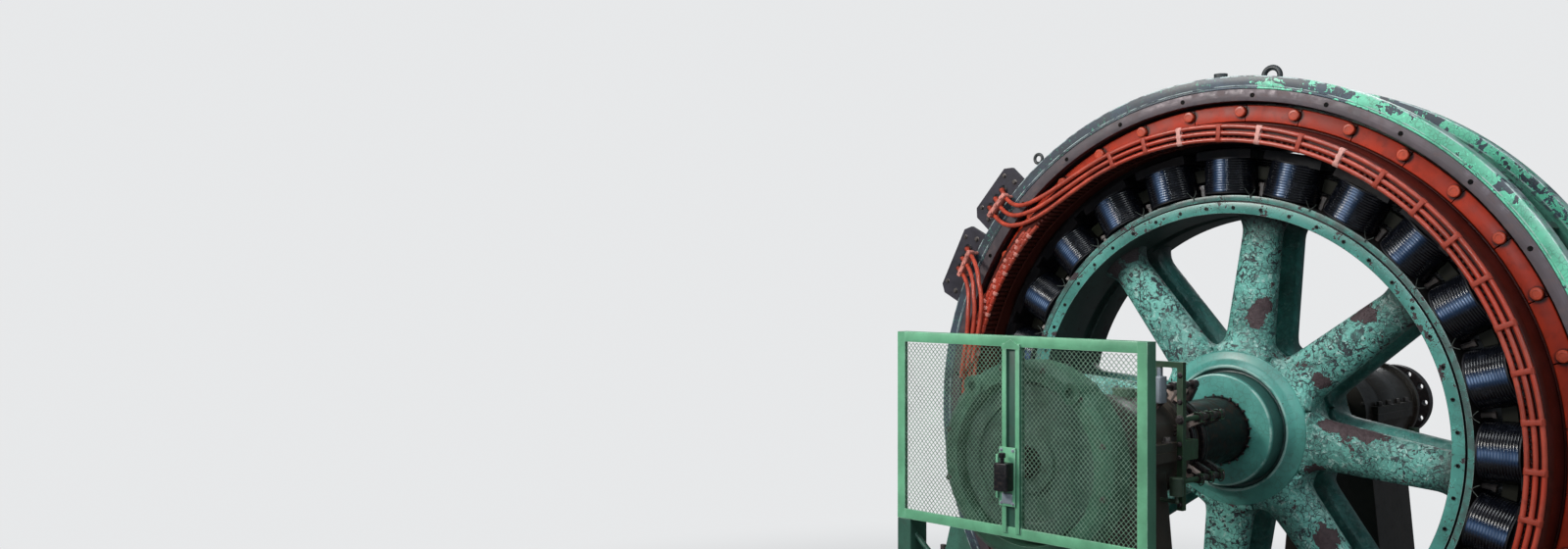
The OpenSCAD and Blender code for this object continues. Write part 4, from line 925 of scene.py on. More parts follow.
@finish_of
def shop_paint(hue, part):
    """Painted castings and bars that are grimy with oil and dust."""
    tone, edge_tone, dirt, rough_low = {
        "bearing": (hue.bearing_paint, "8b8368", 0.75, 0.35), "cap": ("332d26", "7d7158", 0.75, 0.38),
        "exciter": ("3d6a54", "83ac94", 0.5, 0.4), "brush": ("264a30", "5d8a60", 0.6, 0.35),
        "guard": (hue.guard_paint, "c9e6d2", 0.14, 0.38), "guard dark": (hue.guard_dark, "7da792", 0.35, 0.4),
        "mesh": ("638a70", "9dbda8", 0.5, 0.5), "rib": ("2e4f45", "b59a78", 0.6, 0.4),
        "foot": ("3f7262", "9fc0ad", 0.5, 0.4), "eye": ("2c3236", "6d7d80", 0.4, 0.4),
        "oil": ("4b6652", "a3b79c", 0.6, 0.3), "armature": ("3f5a4f", "8aa597", 0.5, 0.4),
        "grey box": ("7e8790", "b8c0c6", 0.25, 0.45), "brass": ("8d7a4f", "d9c48f", 0.4, 0.35),
    }[part]
    tone = tint(tone) if isinstance(tone, str) else tone
    f = Finish("shop paint " + part, Specular_IOR_Level=0.5, Coat_Weight=0.12, Coat_Roughness=0.3)
    grime, mottle = f.group(grimy, Scale=4.5), f.group(mottled, Scale=5.5)
    f.base = f.tones(mottle["Cloud"], 0.3, 0.72, tone, 0.78, 1.14)
    f.lay(mottle["Cracks"] * (dirt * 0.5), shade(tone, 0.3))
    f.lay(grime["Runs"] * dirt, blend(shade(tone, 0.3), (0.03, 0.025, 0.02), 0.5))
    f.lay(grime["Spots"] * (dirt * 0.5), (0.03, 0.026, 0.022))
    # Painted shade: faces of the guard that point along +x take its dark green.
    if part == "guard":
        f.lay(f.step(f.normal("X"), 0.6, 0.9, 0.0, 0.75), hue.guard_dark)
    # Edges in their edge tone: scuffs, and painted highlight where the tone is a paler copy of the paint.
    f.lay(f.wear_and_highlight(0.004, 12.0) * 0.8, tint(edge_tone))
    rough = f.step(mottle["Cloud"], 0.3, 0.7, rough_low, rough_low + 0.2) + grime["Spots"] * 0.1
    return f.done(rough, mottle["Cloud"] + grime["Fine"] * 0.4, 0.002, 0.35)


@finish_of
def slate(hue, part):
    """Slate or pressed board with faint cleavage lines."""
    board = part == "board"
    f = Finish("board " + part, Specular_IOR_Level=0.1 if board else 0.35)
    code = {"board": "3f4230", "collar": "14141a", "holder": "b39f96", "clip": "424844"}.get(part)
    tone = tint(code) if code else hue.slate
    lines = f.noise(2.5, 4.0, 0.6, 0.6, at=f.stretched((3.0, 40.0, 6.0)))
    f.base = f.tones(lines, 0.3, 0.75, tone, 0.7, 1.3)
    # Paler edges: scuffs and painted highlight.
    f.lay(f.wear_and_highlight(0.003, 12.0) * 0.6, shade(tone, 2.0 if board else 3.0))
    # Painted shade: the boards go near-black over broad noisy patches, the shade between the coils.
    if board:
        f.lay(f.fall(f.noise(1.9, 2.0), 0.58, 0.70, 0.95), (0.012, 0.012, 0.009))
    return f.done(f.step(lines, 0.3, 0.7, 0.45, 0.7), lines, 0.001, 0.4)


@finish_of
def concrete(hue):
    """Cast concrete with board marks, stains and pits."""
    f = Finish("concrete", Specular_IOR_Level=0.3)
    cloud = f.noise(1.6, 6.0, 0.62, 0.3)
    pits = f.fall(f.cells(55.0), 0.06, 0.16)
    marks = f.noise(1.0, 3.0, 0.6, at=f.stretched((1.0, 1.0, 14.0)))
    f.base = f.tones(cloud, 0.3, 0.72, hue.concrete, 0.62, 1.12)
    f.lay(f.step(marks, 0.55, 0.7) * 0.25, shade(hue.concrete, 0.55))
    f.lay(f.group(grimy, Scale=1.6)["Runs"] * 0.45, (0.16, 0.13, 0.10))
    f.lay(pits * f.step(cloud, 0.45, 0.6, 0.0, 0.6), shade(hue.concrete, 0.35))
    return f.done(f.step(cloud, 0.3, 0.7, 0.7, 0.92), cloud + marks * 0.5 - pits * 0.3, 0.006, 0.5)


# Pieces

# The stator's two ends: their side along the shaft, and their name.
ENDS = ((-1, "front"), (1, "rear"))


class Pieces:
    """What the operators share: they make pieces and settle them on one body."""

    body = "stator"

    def keep(self, thing, node, extra):
        """Settle a piece in place of its CAD node, or as one more piece beside those in its place."""
        settle(thing, self.body, node, *(() if extra else (node,)))

    def add(self, name, shape, finish, node, sharp=35, extra=False):
        self.keep(piece(name, shape, finish, sharp), node, extra)

    def ring(self, name, shape, finish, node, count, extra=False, **given):
        self.keep(ringed(name, shape, finish, count, **given), node, extra)

    def cad(self, name, node, finish, ease=0.004, steps=2):
        self.keep(softened(name, node, finish, ease, steps), node, False)


def spun(mesh, degrees):
    """Turn a mesh that has x out from the axis and y along the shaft to an angle above the horizontal."""
    mesh.transform(Matrix.Translation((0, 0, AXIS)) @ Matrix.Rotation(-math.radians(degrees), 4, "Y"))
    return mesh


def arm_outline(u, half):
    """Half width of an arm at a distance from the axis: hollow at the hub, straight, flared at the rim."""
    start = Vector((HOLLOW * math.cos(half), HOLLOW * math.sin(half)))
    end, wide, flare = 0.520, sizes().arm_width + 0.020, 0.985
    if u <= start.x:
        return u * math.tan(half)
    if u < end:
        bend = Vector((start.x + (start.y - wide - 0.001) * math.tan(half), wide + 0.001))
        low, high = 0.0, 1.0
        for _ in range(30):
            t = (low + high) / 2
            x = start.x * (1 - t) ** 2 + bend.x * 2 * t * (1 - t) + end * t * t
            low, high = (t, high) if x < u else (low, t)
        return start.y * (1 - t) ** 2 + bend.y * 2 * t * (1 - t) + wide * t * t
    straight = wide - 0.028 * (u - end) / (RIM_IN - end)
    return straight + (0.052 * ((u - flare) / 0.122) ** 2.4 if u > flare else 0.0)


def arm_mesh(place):
    """One arm at zero angle, lofted through rounded sections from inside the hub to inside the rim."""
    s = sizes()
    half, around = math.pi / s.arms, 56
    hollow = HOLLOW * math.cos(half)
    stations = [0.33, 0.365, 0.385, hollow - 0.004] + [hollow + 0.123 * (k / 12) ** 1.6 for k in range(13)]
    stations += [0.56 + k * 0.047 for k in range(10)] + [1.003 + 0.122 * (k / 10) for k in range(11)]
    turns = [(math.cos(2 * math.pi * k / around), math.sin(2 * math.pi * k / around)) for k in range(around)]
    points = []
    for u in stations:
        wide = arm_outline(min(u, RIM_IN), half)
        deep = s.arm_depth + 0.005 - 0.008 * (u - 0.4) / 0.7
        deep += 0.026 * max(0.0, (0.56 - u) / 0.16) ** 2 if u > 0.40 else 0.026
        deep += 0.030 * max(0.0, (u - 1.01) / 0.10) ** 2.4
        power = 9.0 if u < hollow else 2.35 + 6.65 * max(0.0, 1 - (u - hollow) / 0.05) ** 2
        points += [(u, place + deep * math.copysign(abs(d) ** (2 / power), d),
                    wide * math.copysign(abs(c) ** (2 / power), c)) for c, d in turns]
    return mesh_of(points, skin(len(stations), around))


class GEN_OT_arms(Pieces, bpy.types.Operator):
    """Two rows of oval arms, flared at the rim and joined to each other in hollows at the hub"""

    bl_idname = "generator.arms"
    bl_label = "Arms"
    body = "rotor"

    def execute(self, context):
        s = context.scene.generator_sizes
        for row, place in (("front", s.front_row), ("rear", s.rear_row)):
            self.ring(row + "_arm_row", arm_mesh(place), arm_paint(row), row + "_arms", s.arms,
                      first=math.degrees(s.arm_angle), sharp=50)
        return {"FINISHED"}


class GEN_OT_wheel(Pieces, bpy.types.Operator):
    """Hub with its boss and lip, rim with its raised ring, rim bolts and shaft keys"""

    bl_idname = "generator.wheel"
    bl_label = "Hub and rim"
    body = "rotor"

    def execute(self, context):
        s = context.scene.generator_sizes
        hub = [(HUB_BORE, HUB_END), (HUB_BOSS, HUB_END), (HUB_BOSS, -0.186), (HUB_LIP, -0.186),
               (HUB_LIP, HUB_LIP_END), (HUB_LIP_OUT, HUB_LIP_END), (0.352, -0.196), (HUB_OUT, -0.180)]
        hub = turned(mirrored(hub, HUB_MIDDLE), ease=0.009, bends=4)
        self.add("wheel_hub", hub, wheel_paint("hub"), "rotor_hub", 50)
        rim = [(RIM_IN, -0.275), (RIM_GROOVE, -0.275), (RIM_GROOVE, -0.255), (RIM_BAND, -0.255),
               (RIM_BAND, -0.268), (RIM_OUT, -0.268)]
        groove = [(RIM_IN, 0.103), (1.131, 0.103), (1.131, 0.011), (RIM_IN, 0.011)]
        self.add("wheel_rim", turned(mirrored(rim) + groove, 256, 0.003), wheel_paint("rim"), "rotor_rim", 50)
        cup = [(0, 0.0095), (0.006, 0.0095), (0.007, 0.0085), (0.007, 0.005), (0.003, 0.0048)]
        pair = [stack((1.1365, side * RIM_FACE, 0), (0, side, 0), cup, 14) for side in (-1, 1)]
        self.ring("rim_bolt_rows", pair, dark_steel("black"), "rim_bolts", 2 * s.poles, first=41.75,
                  turn=0.06)
        keys = [spun(block((0.167, -0.323, -0.005), (0.181 + 0.003 * (k % 2), -0.30, 0.005), 0.0015, 1),
                     22 + 15 * k)
                for k in range(24)]
        self.add("shaft_keys", keys, dark_steel("iron"), "rotor_hub", extra=True)
        return {"FINISHED"}


class GEN_OT_shaft(Pieces, bpy.types.Operator):
    """Shaft, slip rings on their bush, coupling and the disc at the exciter end"""

    bl_idname = "generator.shaft"
    bl_label = "Shaft and slip rings"
    body = "rotor"

    def execute(self, context):
        for name, node, finish, ease in (
                ("shaft_turned", "shaft", dark_steel("shaft"), 0.003),
                ("slip_bush", "slip_ring_bush", dark_steel("bush"), 0.002),
                ("coupling", "coupling_flange", dark_steel("iron"), 0.003),
                ("end_disc", "armature", shop_paint("armature"), 0.004)):
            self.cad(name, node, finish, ease)
        half = [(0.187, 0), (0.2095, 0), (0.214, 0.0045), (0.214, 0.0195), (0.2115, 0.021)]
        rings = [turned([(r, start + y) for r, y in mirrored(half, SLIP_HALF)], 128, 0.001, 1)
                 for start in SLIP_RINGS]
        self.add("slip_ring_set", rings, dark_steel("ring"), "slip_rings")
        return {"FINISHED"}


def racetrack(width, long, bends=14):
    """Closed path of a coil round its pole, as (across, along) with its outward direction."""
    r, straight = width / 2, long / 2 - width / 2
    path = []
    for middle, start in ((straight, 0), (-straight, math.pi)):
        for k in range(bends + 1):
            a = math.pi * k / bends + start
            path.append((Vector((r * math.cos(a), middle + r * math.sin(a))),
                         Vector((math.cos(a), math.sin(a)))))
    return path


def ring_of(path, section):
    """Sweep a closed section of (radius, inward offset) along a racetrack path."""
    points = [(r, (p - out * inward).y, (p - out * inward).x) for p, out in path for r, inward in section]
    return mesh_of(points, skin(len(path), len(section), True))


class GEN_OT_poles(Pieces, bpy.types.Operator):
    """Poles with wound coils, their collars, wedges, links and the leads along one arm"""

    bl_idname = "generator.poles"
    bl_label = "Poles and coils"
    body = "rotor"

    def execute(self, context):
        s = context.scene.generator_sizes
        # Painted shade: the pole stack is near-black, the shadow under the winding, not the steel's own grey.
        self.cad("pole_stack", "pole_bodies", laminations("0e0e11"), 0.003)
        pitch = (COIL_OUT - COIL_IN) / s.coil_turns
        section = [(COIL_IN, 0.046), (COIL_OUT, 0.046)]
        for k in reversed(range(s.coil_turns)):
            section += [(COIL_IN + k * pitch + pitch * part, inward)
                        for part, inward in ((0.97, 0.0026), (0.80, 0.0), (0.20, 0.0), (0.03, 0.0026))]
        self.ring("coil_set", ring_of(racetrack(COIL_WIDTH, COIL_LONG), section), coil_varnish(),
                  "field_coils", s.poles, seed=4, sharp=60)
        # The collars are near-black: varnish, and painted shade where the coils' tops lie under the winding.
        collars = [ring_of(racetrack(COIL_WIDTH - 0.004, COIL_LONG - 0.004),
                           [(r, 0.06), (r + 0.007, 0.06), (r + 0.007, 0.0), (r, 0.0)])
                   for r in (COIL_IN - 0.0075, COIL_OUT + 0.0005)]
        self.ring("coil_collars", collars, slate("collar"), "field_coils", s.poles, extra=True)
        self.cad("wedge_blocks", "coil_wedges", slate("board"), 0.003)
        half, clips = 180 / s.poles, []
        for side in (-1, 1):
            edge = side * RIM_FACE
            arch = [(1.236, 0.012, -0.026), (1.222, 0.004, -0.018), (1.204, 0, 0), (1.222, 0.004, 0.018),
                    (1.236, 0.012, 0.026)]
            clips.append(tube(curve_through([(r, edge + side * y, z) for r, y, z in arch], 3), 0.0018, 6))
            clips.append(tube([(1.206, edge, 0), (1.190, edge + side * 0.001, 0)], 0.0030, 6))
        self.ring("wire_clips", clips, slate("clip"), "coil_wedges", s.poles, extra=True, first=half,
                  turn=0.5, seed=5)
        stud = [(0, 0.014), (0.05, 0.014), (0.05, 0.020), (0.066, 0.020), (0.068, 0.014)]
        self.ring("wedge_bolts", stack((1.205, -0.160, 0), (1, 0, 0), stud, 6), dark_steel("bolt"),
                  "coil_wedges", s.poles, extra=True, first=half)
        self.cad("rotor_leads", "field_leads", dark_steel("lead"), 0.0)
        return {"FINISHED"}


class GEN_OT_frame_rings(Pieces, bpy.types.Operator):
    """Stator frame rings, machined faces, ribs and the laminated core with its duct bars"""

    bl_idname = "generator.frame_rings"
    bl_label = "Stator frame"

    def execute(self, context):
        s = context.scene.generator_sizes
        ring = [(LEDGE, FRAME_FACE), (1.7425, FRAME_FACE), (1.7425, 0.3245), (FRAME_GROOVE, 0.3245),
                (FRAME_GROOVE, FRAME_FACE), (FRAME_OUT, FRAME_FACE), (FRAME_OUT, 0.2375), (1.737, 0.2375),
                (1.737, 0.1775), (1.650, 0.1775), (1.650, 0.220), (1.672, 0.220), (1.672, 0.2895),
                (LEDGE, 0.2895)]
        face = [(FACE_IN, 0.290), (FACE_IN, 0.3265), (FACE_OUT, 0.3265), (FACE_OUT, 0.290)]
        for side, end in ENDS:
            flange = turned(sided(side, ring), 288, 0.0035, 3)
            self.add(end + "_flange", flange, frame_paint(end), end + "_frame_ring", 50)
            self.add(end + "_face", turned(sided(side, face), 288, 0.002), face_metal(), end + "_face_ring",
                     50)
        # Painted shade: matte near-black discs on the face rings stand for the dark insides of the tapped
        # holes.
        disc = [(0, 0.0125), (0.0018, 0.012), (0.0018, 0.0108), (0.0014, 0.0104)]
        hole_shade_discs = [stack((FACE_MIDDLE, side * 0.3255, 0), (0, side, 0), disc) for side in (-1, 1)]
        self.ring("face_holes", hole_shade_discs, dark_steel("hole"), "front_face_ring", 28, extra=True, first=6.4)
        rib = [block((1.648, -0.178, -0.016), (1.722, 0.178, 0.016), 0.003),
               block((1.719, -0.178, -0.019), (1.737, 0.178, 0.019), 0.003)]
        self.ring("rib_set", rib, shop_paint("rib"), "frame_ribs", s.bolts, first=math.degrees(s.bolt_angle))
        ducts = [-0.165 + k * 0.055 for k in range(7)]
        core = [(CORE_IN, -CORE_HALF), (CORE_OUT, -CORE_HALF)]
        for y in ducts:
            core += [(CORE_OUT, y - 0.007), (1.610, y - 0.007), (1.610, y + 0.007), (CORE_OUT, y + 0.007)]
        core += [(CORE_OUT, CORE_HALF), (CORE_IN, CORE_HALF)]
        self.add("core_stack", turned(core, 256), laminations("1d1b1d"), "stator_core", 30)
        bars = [block((1.612, y - 0.0065, -0.004), (1.6485, y + 0.0065, 0.004), 0.0) for y in ducts]
        self.ring("duct_bars", bars, dark_steel("iron"), "stator_core", 144, extra=True, turn=0.1)
        return {"FINISHED"}


def sector(section, degrees, gap, steps=4):
    """Part of a ring at zero angle: a section of (radius, along) over some degrees, less a gap at the ends."""
    points = []
    for k in range(steps + 1):
        for r, y in section:
            a = (k / steps * 2 - 1) * (math.radians(degrees / 2) - gap / r / 2)
            points.append((r * math.cos(a), y, r * math.sin(a)))
    return mesh_of(points, skin(steps + 1, len(section)))


class GEN_OT_clamps(Pieces, bpy.types.Operator):
    """Clamp rings in segments, with their bolts"""

    bl_idname = "generator.clamps"
    bl_label = "Clamp rings"

    def execute(self, context):
        s = context.scene.generator_sizes
        first = math.degrees(s.bolt_angle)
        bar = [(CLAMP_IN, 0.222), (CLAMP_OUT, 0.222), (CLAMP_OUT, 0.281), (CLAMP_IN, 0.290)]
        for side, end in ENDS:
            segment = sector(eased(sided(side, bar), 0.006, 3), 360 / s.bolts, 0.005)
            self.ring(end + "_clamp_segments", segment, enamel("clamp"), end + "_clamp_ring", s.bolts,
                      first=first + 4.1, shift=0.0008, seed=3, sharp=50)
        cap = [(0, 0.028), (0.0195, 0.028), (0.0235, 0.0245), (0.024, 0.016), (0.0225, 0.0145),
               (0.0225, 0.006)]
        heads = [stack((s.bolt_circle, side * 0.283, 0), (0, side, 0), cap, 24) for side in (-1, 1)]
        self.ring("clamp_bolt_set", heads, enamel("head"), "clamp_bolts", s.bolts, first=first, turn=0.05)
        shelf = [(1.5525, 0.2235), (1.5715, 0.2235), (1.5715, 0.276), (1.5615, 0.280), (1.5525, 0.268)]
        for side, end in ENDS:
            self.add(end + "_press_ring", turned(sided(side, shelf), 192, 0.002, 1), enamel("winding"),
                     end + "_winding", 50, extra=True)
        return {"FINISHED"}


class GEN_OT_windings(Pieces, bpy.types.Operator):
    """End windings: a dark cone with a ring of coil noses and their lacing"""

    bl_idname = "generator.windings"
    bl_label = "End windings"

    def execute(self, context):
        s = context.scene.generator_sizes
        cone = [(1.4755, 0.215), (1.5575, 0.215), (1.5575, 0.412), (1.548, 0.444), (1.488, 0.4465),
                (1.4755, 0.432)]
        width = math.pi * 1.47 / s.knuckles * 0.62
        for side, end in ENDS:
            node, finish = end + "_winding", enamel("winding")
            self.add(node + "_cone", turned(sided(side, cone), 192, 0.010, 4), finish, node, 50)
            nose = [block((1.4635, side * 0.345, -width), (1.4775, side * 0.441, width), 0.003, 1),
                    block((1.4660, side * 0.438, -width), (1.4900, side * 0.4475, width), 0.003, 1)]
            self.ring(end + "_coil_noses", nose, finish, node, s.knuckles, extra=True, turn=0.12,
                      shift=0.0012, seed=8, sharp=60)
            lace = [(1.4655 + 0.005 * u, side * 0.335 + 0.009 * v) for u, v in circle(1, 10)]
            self.add(end + "_lacing", turned(lace), finish, node, extra=True)
        return {"FINISHED"}


def lead_run(k, end, turn):
    """Middle line of a bus lead, from its rod round to its terminal."""
    s = sizes()
    r0, clear, y1 = s.rod_run + s.rod_pitch * k, 1.584, -0.3471
    y0, start = -0.4929, (r0, end - turn, -0.472)
    if turn > 0:
        y0, start = s.rod_place, (r0, end - turn - 0.8, s.rod_place)
    run = [start]
    for q in (0, 4, 9, 15, 22, 30, 38, 46, 54, 62, 70, 78, 84, 90):
        a = math.radians(q)
        r = TERMINAL - (TERMINAL - r0) * math.cos(a) ** 0.65 if q < 90 else TERMINAL
        rise = max(0, (r - clear) / (TERMINAL - clear))
        run.append((r, end - turn + turn * math.sin(a) ** 0.65, y0 + (y1 - y0) * rise))
    run.append((TERMINAL, end, -0.305))
    return [(r * math.cos(math.radians(a)), y, AXIS + r * math.sin(math.radians(a))) for r, a, y in run]


def rod_radius(i, degrees):
    """Distance of a bus rod from the axis: the three draw together where they are taped into a bundle."""
    s = sizes()
    drawn = 0.48 if 133 < degrees < 150 else 0.0
    if 150 <= degrees < 166:
        drawn = 0.48 * (166 - degrees) / 16
    return s.rod_run + s.rod_pitch * i * (1 - drawn)


class GEN_OT_bus(Pieces, bpy.types.Operator):
    """Bus rods with their clamps, taped leads and terminal boards"""

    bl_idname = "generator.bus"
    bl_label = "Bus rods and terminals"

    def execute(self, context):
        s = context.scene.generator_sizes
        y, face = s.rod_place, -FRAME_FACE
        rods, upper = [], LEADS[0]
        for i in range(3):
            first, last = 133.5 + 1.5 * i, 360 + upper[0] + (1 - i) * LEAD_STEP - upper[2]
            run = []
            for k in range(241):
                degrees = first + (last - first) * k / 240
                r, a = rod_radius(i, degrees), math.radians(degrees)
                run.append((r * math.cos(a), y, AXIS + r * math.sin(a)))
            rods.append(tube(run, s.rod - 0.0008))
        self.add("bus_rod_set", rods, enamel("rod"), "bus_rods", 60)
        inner, outer = s.rod_run - s.rod, s.rod_run + 2 * s.rod_pitch + s.rod
        wrap = [(0, s.rod), (0.002, s.rod + 0.0016), (0.028, s.rod + 0.0016), (0.030, s.rod)]
        cleat = [block((inner + 0.002, y + s.rod * 0.2, -0.014), (outer - 0.002, y + s.rod + 0.001, 0.014),
                       0.003)]
        cleat += [stack((s.rod_run + s.rod_pitch * i, y, -0.015), (0, 0, 1), wrap) for i in range(3)]
        cleat.append(block((inner + 0.007, y - s.rod - 0.0030, -0.011),
                           (outer - 0.007, y - s.rod + 0.001, 0.011), 0.002))
        self.ring("rod_cleats", cleat, taped(), "bus_clamps", 39, first=166.8, pitch=8, turn=0.25, seed=11)
        wraps, ties = [], []
        for k in range(16):
            for i in range(3):
                plain, degrees = (k + i) % 3, 136.5 + 1.75 * k + 0.5 * i
                long, swell = (0.020, s.rod + 0.0030) if plain else (0.011, s.rod + 0.0042)
                rings = [(0, s.rod), (0.003, swell), (2 * long - 0.003, swell), (2 * long, s.rod)]
                wrap = spun(stack((rod_radius(i, degrees), y, -long), (0, 0, 1), rings, 12), degrees)
                (wraps if plain else ties).append(wrap)
        self.add("rod_wraps", wraps, enamel("rod"), "bus_clamps", extra=True)
        self.add("rod_ties", ties, enamel("strap"), "bus_clamps", extra=True)
        runs, grommets, straps = [], [], []
        nut = [(-0.004, 0.029), (0.004, 0.029), (0.0065, 0.026), (0.0065, 0.0175), (0.002, 0.016)]
        back = [(-0.002, 0.024), (0.012, 0.024), (0.014, 0.020)]
        for end, way, turn in LEADS:
            for k in range(3):
                a = end + way * (1 - k) * LEAD_STEP
                runs.append(tube(lead_run(k, a, turn), s.lead, 14))
                grommets += [spun(stack((TERMINAL, face, 0), (0, -1, 0), nut, 20), a),
                             spun(stack((TERMINAL, -0.3035, 0), (0, 1, 0), back, 6), a)]
            strap = [block((1.783, -0.411, -0.086), (1.809, -0.356, 0.086), 0.005, 3)]
            stud = [(-0.01, 0.010), (0.035, 0.010), (0.036, 0.010)]
            strap += [stack((1.790, face, z), (0, -1, 0), stud, 12) for z in (-0.074, 0.074)]
            strap += [bolt((1.796, -0.409, z), (0, -1, 0), 0.010, 0.010) for z in (-0.055, 0, 0.055)]
            straps += [spun(mesh, end) for mesh in strap]
        self.add("lead_set", runs, lead_tape(), "bus_leads", 60)
        self.add("lead_grommets", grommets, dark_steel("black"), "bus_leads", extra=True)
        self.add("lead_straps", straps, enamel("strap"), "bus_leads", extra=True)
        self.cad("terminal_plates", "terminal_boards", slate("slate"), 0.003)
        screws = []
        for middle, long in ((137.85, 0.382), (152.3, 0.450)):
            for z in (0.05 - long / 2, long / 2 - 0.05):
                screws += [spun(bolt((1.829, face, z), (0, -1, 0), 0.012, 0.013), middle),
                           spun(bolt((1.912, face, z * 0.86), (0, -1, 0), 0.010, 0.011), middle)]
        self.add("plate_bolts", screws, dark_steel("bolt"), "terminal_boards", extra=True)
        return {"FINISHED"}


class GEN_OT_bearings(Pieces, bpy.types.Operator):
    """Pedestals, bearing caps with bolts, bushes and oil fittings"""

    bl_idname = "generator.bearings"
    bl_label = "Bearings"

    def execute(self, context):
        for _, end in ENDS:
            self.cad(end + "_pedestal_cast", end + "_pedestal", shop_paint("bearing"), 0.008, 3)
            self.cad(end + "_cap_cast", end + "_bearing_cap", shop_paint("cap"), 0.007, 3)
            self.cad(end + "_bush_turned", end + "_bush", shop_paint("brass"), 0.002)
            low, high = span(end + "_bearing_cap")
            middle = (low.y + high.y) / 2
            heads = [bolt((x, middle + y, AXIS + 0.040), (0, 0, 1), 0.017, 0.026)
                     for x in (-0.249, 0.249) for y in (-0.19, -0.065, 0.065, 0.19)]
            heads += [spun(bolt((0.244, face, 0), (0, way, 0), 0.009, 0.012), 15 + 30 * k)
                      for face, way in ((low.y, -1), (high.y, 1)) for k in range(12)]
            self.add(end + "_bearing_bolts", heads, dark_steel("bolt"), end + "_bearing_cap", extra=True)
        self.cad("oil_covers", "oil_fittings", shop_paint("oil"), 0.003)
        return {"FINISHED"}


class GEN_OT_brush_gear(Pieces, bpy.types.Operator):
    """Brush gear: bracket, insulated studs, brush holders with springs, and their flexible leads"""

    bl_idname = "generator.brush_gear"
    bl_label = "Brush gear"

    def execute(self, context):
        self.cad("brush_bracket", "brush_gear", shop_paint("brush"), 0.003)
        pale, dark, wire = [], [], []
        reach = math.hypot(BRUSH_ACROSS, BRUSH_UP)
        tilt, upper = math.degrees(math.atan2(BRUSH_UP, BRUSH_ACROSS)), 62

        def holder(y, a, shown, top):
            """A brush in its holder, with its coil spring and the collar on the stud."""
            shown.append(spun(block((0.226, y - 0.015, -0.026), (0.300, y + 0.015, 0.026), 0.003), a))
            dark.extend(spun(mesh, a) for mesh in (
                block((0.2145, y - 0.009, -0.012), (top, y + 0.009, 0.012), 0.001),
                stack((0.262, y - 0.017, 0.010), (0, -1, 0), [(0, 0.013), (0.006, 0.013), (0.007, 0.005)],
                      14),
                stack((reach, y - 0.019, 0), (0, 1, 0), [(0, 0.021), (0.038, 0.021)], 18)))

        for a in (-tilt, tilt):
            for y in [start + SLIP_HALF for start in SLIP_RINGS]:
                holder(y, a, pale if y < -1 else dark, 0.226)
                dark.append(spun(block((0.220, y - 0.011, -0.015), (0.232, y + 0.011, 0.015), 0.002), a))
                dark.append(spun(block((0.262, y - 0.020, 0.008), (0.312, y - 0.016, 0.014), 0.001), a))
                tail = [(0.298, y, 0.012), (0.328, y - 0.006, 0.022), (0.345, y - 0.014, 0.0),
                        (0.335, y - 0.010, -0.022), (reach, y, -0.020)]
                wire.append(spun(tube(curve_through(tail, 5), 0.0028, 6), a))
        for start in SLIP_RINGS:
            holder(start + SLIP_HALF, upper, pale if start < -0.9 else dark, 0.228)
        x, z = reach * math.cos(math.radians(upper)), AXIS + reach * math.sin(math.radians(upper))
        dark.append(stack((x, -1.165, z), (0, 1, 0), [(0, 0.011), (0.352, 0.011)]))
        dark.append(bolt((x, -1.1785, z), (0, -1, 0), 0.015, 0.013))
        self.add("brush_strap",
                 block((x - 0.014, -1.1785, z - 0.022), (x + 0.014, -1.1505, AXIS + 0.380), 0.003),
                 shop_paint("brush"), "brush_gear", extra=True)
        for k in range(3):
            y = -1.130 - 0.012 * k
            cable = [(0.155 + 0.014 * k, -1.150, 0.215), (0.14, y, 0.20 - 0.02 * k),
                     (0.155, y, 0.14 - 0.03 * k), (0.215, y + 0.02, 0.10 - 0.02 * k),
                     (0.265, -1.150, 0.13 - 0.02 * k)]
            wire.append(tube(curve_through([(x, y, AXIS + z) for x, y, z in cable], 6), 0.0055, 8))
        sleeve = [(0, 0.0135), (0.003, 0.0165), (0.033, 0.0165), (0.036, 0.0135)]
        for z in (AXIS - BRUSH_UP, AXIS + BRUSH_UP):
            dark += [stack((BRUSH_ACROSS, y - 0.018, z), (0, 1, 0), sleeve) for y in (-0.966, -0.8735)]
            dark.append(bolt((BRUSH_ACROSS, -1.1795, z), (0, -1, 0), 0.016, 0.014))
        dark += [bolt((BRUSH_ACROSS, -1.1795, AXIS + z), (0, -1, 0), 0.010, 0.010)
                 for z in (-0.24, -0.03, 0.03, 0.22, 0.34)]
        self.add("brush_holders", pale, slate("holder"), "brush_gear", extra=True)
        self.add("brush_irons", dark, dark_steel("iron"), "brush_gear", extra=True)
        self.add("brush_tails", wire, dark_steel("cable"), "brush_gear", extra=True)
        box = [block((0.140, -1.205, AXIS + 0.209), (0.196, -1.150, AXIS + 0.331)),
               block((0.144, -1.2095, AXIS + 0.214), (0.192, -1.204, AXIS + 0.326), 0.002),
               block((0.158, -1.176, AXIS + 0.328), (0.178, -1.154, AXIS + 0.376), 0.002)]
        self.add("brush_box", box, shop_paint("grey box"), "brush_gear", extra=True)
        return {"FINISHED"}


